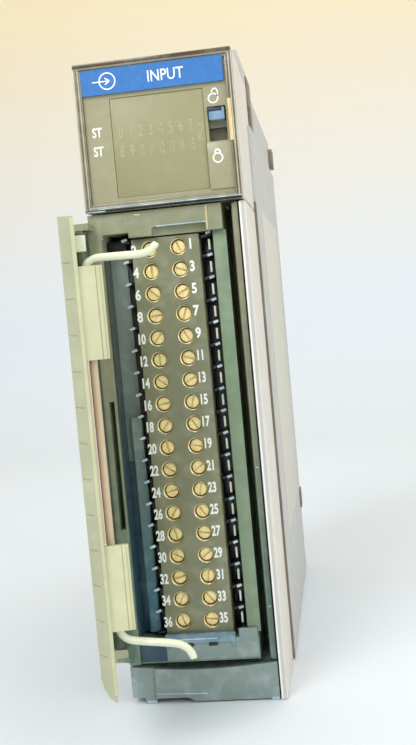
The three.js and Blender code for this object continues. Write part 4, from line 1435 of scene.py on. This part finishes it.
        # Painted highlight along the ledge line, then the two grey feet.
        block_piece("chin_highlight_and_feet", "fin", Body.CASE, "chin",
                    ((step + 0.2 * MM, low.y - 0.6 * MM, 2.1 * MM),
                     (step + 11.6 * MM, low.y - 0.3 * MM, 2.35 * MM),
                     0.08 * MM, 2, Matrix.Rotation(math.radians(1.5), 3, "Y")),
                    ((step - 2.2 * MM, low.y - 0.08 * MM, 0.05 * MM),
                     (step, low.y + 0.6 * MM, 0.75 * MM), 0.1 * MM),
                    ((high.x - 1.9 * MM, low.y - 0.55 * MM, 0.05 * MM),
                     (high.x - 0.1 * MM, low.y + 0.6 * MM, 0.7 * MM), 0.1 * MM))

    def connector_contacts(self) -> None:
        """Rows of contact openings in the backplane connector."""
        low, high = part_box("backplane_connector")
        bm = bmesh.new()
        for row in range(self.pin_rows):
            for column in range(self.pin_columns):
                x = low.x + (row + 0.5) * (high.x - low.x) / self.pin_rows
                z = low.z + 2 * MM + (column + 0.5) * (high.z - low.z - 4 * MM) / self.pin_columns
                add_block(bm, (x - 0.3 * MM, high.y - 0.5 * MM, z - 0.3 * MM),
                          (x + 0.3 * MM, high.y + 0.12 * MM, z + 0.3 * MM))
        settle(finish_mesh(bm, "backplane_contacts", "brass"), Body.CASE, "brass")


# ---- Studio -------------------------------------------------------------------------------
@dataclass(frozen=True)
class SoftLight:
    """Square area light that faces the module."""

    name: str
    place: tuple[float, float, float]
    size: float
    power: float


@dataclass
class Studio:
    """Camera, pale sweep and soft light."""

    eye: Vector = Vector((0.0349, -0.27607, 0.08452))
    aim: Vector = Vector((0.00644, -0.060, 0.07376))
    roll: float = 5.12
    focal: float = 48.32
    sweep_front: float = -1.2
    sweep_back: float = 0.75
    sweep_height: float = 1.6
    sweep_radius: float = 0.35
    sweep_width: float = 3.2
    sweep_steps: int = 16
    sky: Colour = (0.93, 0.96, 1.0)
    sky_power: float = 0.72
    soft_lights: tuple[SoftLight, ...] = (SoftLight("key", (-0.35, -0.75, 0.75), 0.5, 5.2),
                                          SoftLight("fill", (0.6, -0.6, 0.35), 0.6, 2.6),
                                          SoftLight("back", (0.2, 0.1, 0.9), 0.7, 2.6))
    light_aim: Vector = Vector((0, -0.03, 0.07))

    def build(self) -> None:
        """Builds the camera, the sweep and the lights."""
        self.camera()
        self.sweep()
        self.lights()

    def camera(self) -> None:
        """Places the camera, rolled clockwise about its own axis."""
        data = bpy.data.cameras.new("camera")
        data.lens = self.focal
        data.clip_start = 0.01
        data.clip_end = 20.0
        camera = bpy.data.objects.new("camera", data)
        bpy.context.scene.collection.objects.link(camera)
        forward = (self.aim - self.eye).normalized()
        camera.rotation_mode = "QUATERNION"
        lean = Quaternion(forward, math.radians(self.roll))
        camera.rotation_quaternion = lean @ forward.to_track_quat("-Z", "Y")
        camera.location = self.eye
        bpy.context.scene.camera = camera

    def sweep(self) -> None:
        """Floor that curves up into a wall."""
        bm = bmesh.new()
        points = [Vector((0, self.sweep_front, 0)),
                  Vector((0, self.sweep_back - self.sweep_radius, 0))]
        for step in range(1, self.sweep_steps + 1):
            angle = step / self.sweep_steps * math.pi / 2
            points.append(Vector((0, self.sweep_back - self.sweep_radius * (1 - math.sin(angle)),
                                  self.sweep_radius * (1 - math.cos(angle)))))
        points.append(Vector((0, self.sweep_back, self.sweep_height)))
        verts = [bm.verts.new(p - Vector((self.sweep_width / 2, 0, 0))) for p in points]
        edges = [bm.edges.new(pair) for pair in zip(verts, verts[1:])]
        out = bmesh.ops.extrude_edge_only(bm, edges=edges)["geom"]
        moved = [g for g in out if isinstance(g, bmesh.types.BMVert)]
        bmesh.ops.translate(bm, vec=(self.sweep_width, 0, 0), verts=moved)
        for face in bm.faces:
            face.smooth = True
        mesh = bpy.data.meshes.new("paper_sweep")
        bm.to_mesh(mesh)
        bm.free()
        paper = Backdrop("paper", srgb(218, 224, 228), srgb(240, 222, 184), (0.1, 0.42))
        mesh.materials.append(paper.material())
        floor = bpy.data.objects.new("paper_sweep", mesh)
        bpy.context.scene.collection.objects.link(floor)

    def lights(self) -> None:
        """Big soft lights round the camera and an even sky."""
        world = bpy.data.worlds.new("sky")
        bpy.context.scene.world = world
        world.use_nodes = True
        background = world.node_tree.nodes["Background"]
        background.inputs["Color"].default_value = (*self.sky, 1)
        background.inputs["Strength"].default_value = self.sky_power
        for spec in self.soft_lights:
            data = bpy.data.lights.new(spec.name, "AREA")
            data.size = spec.size
            data.energy = spec.power
            light = bpy.data.objects.new(spec.name, data)
            bpy.context.scene.collection.objects.link(light)
            light.location = spec.place
            light.rotation_mode = "QUATERNION"
            light.rotation_quaternion = (self.light_aim - light.location).to_track_quat("-Z", "Y")
        bpy.context.scene.view_settings.view_transform = "Standard"


def main() -> None:
    """Builds the studio and the module in order."""
    logging.basicConfig(level=logging.INFO, format="%(message)s")
    for part in (Studio(), Display(), TerminalUnit(), Door(), Case()):
        LOG.info("building %s", type(part).__name__)
        part.build()


if __name__ == "__main__":
    main()
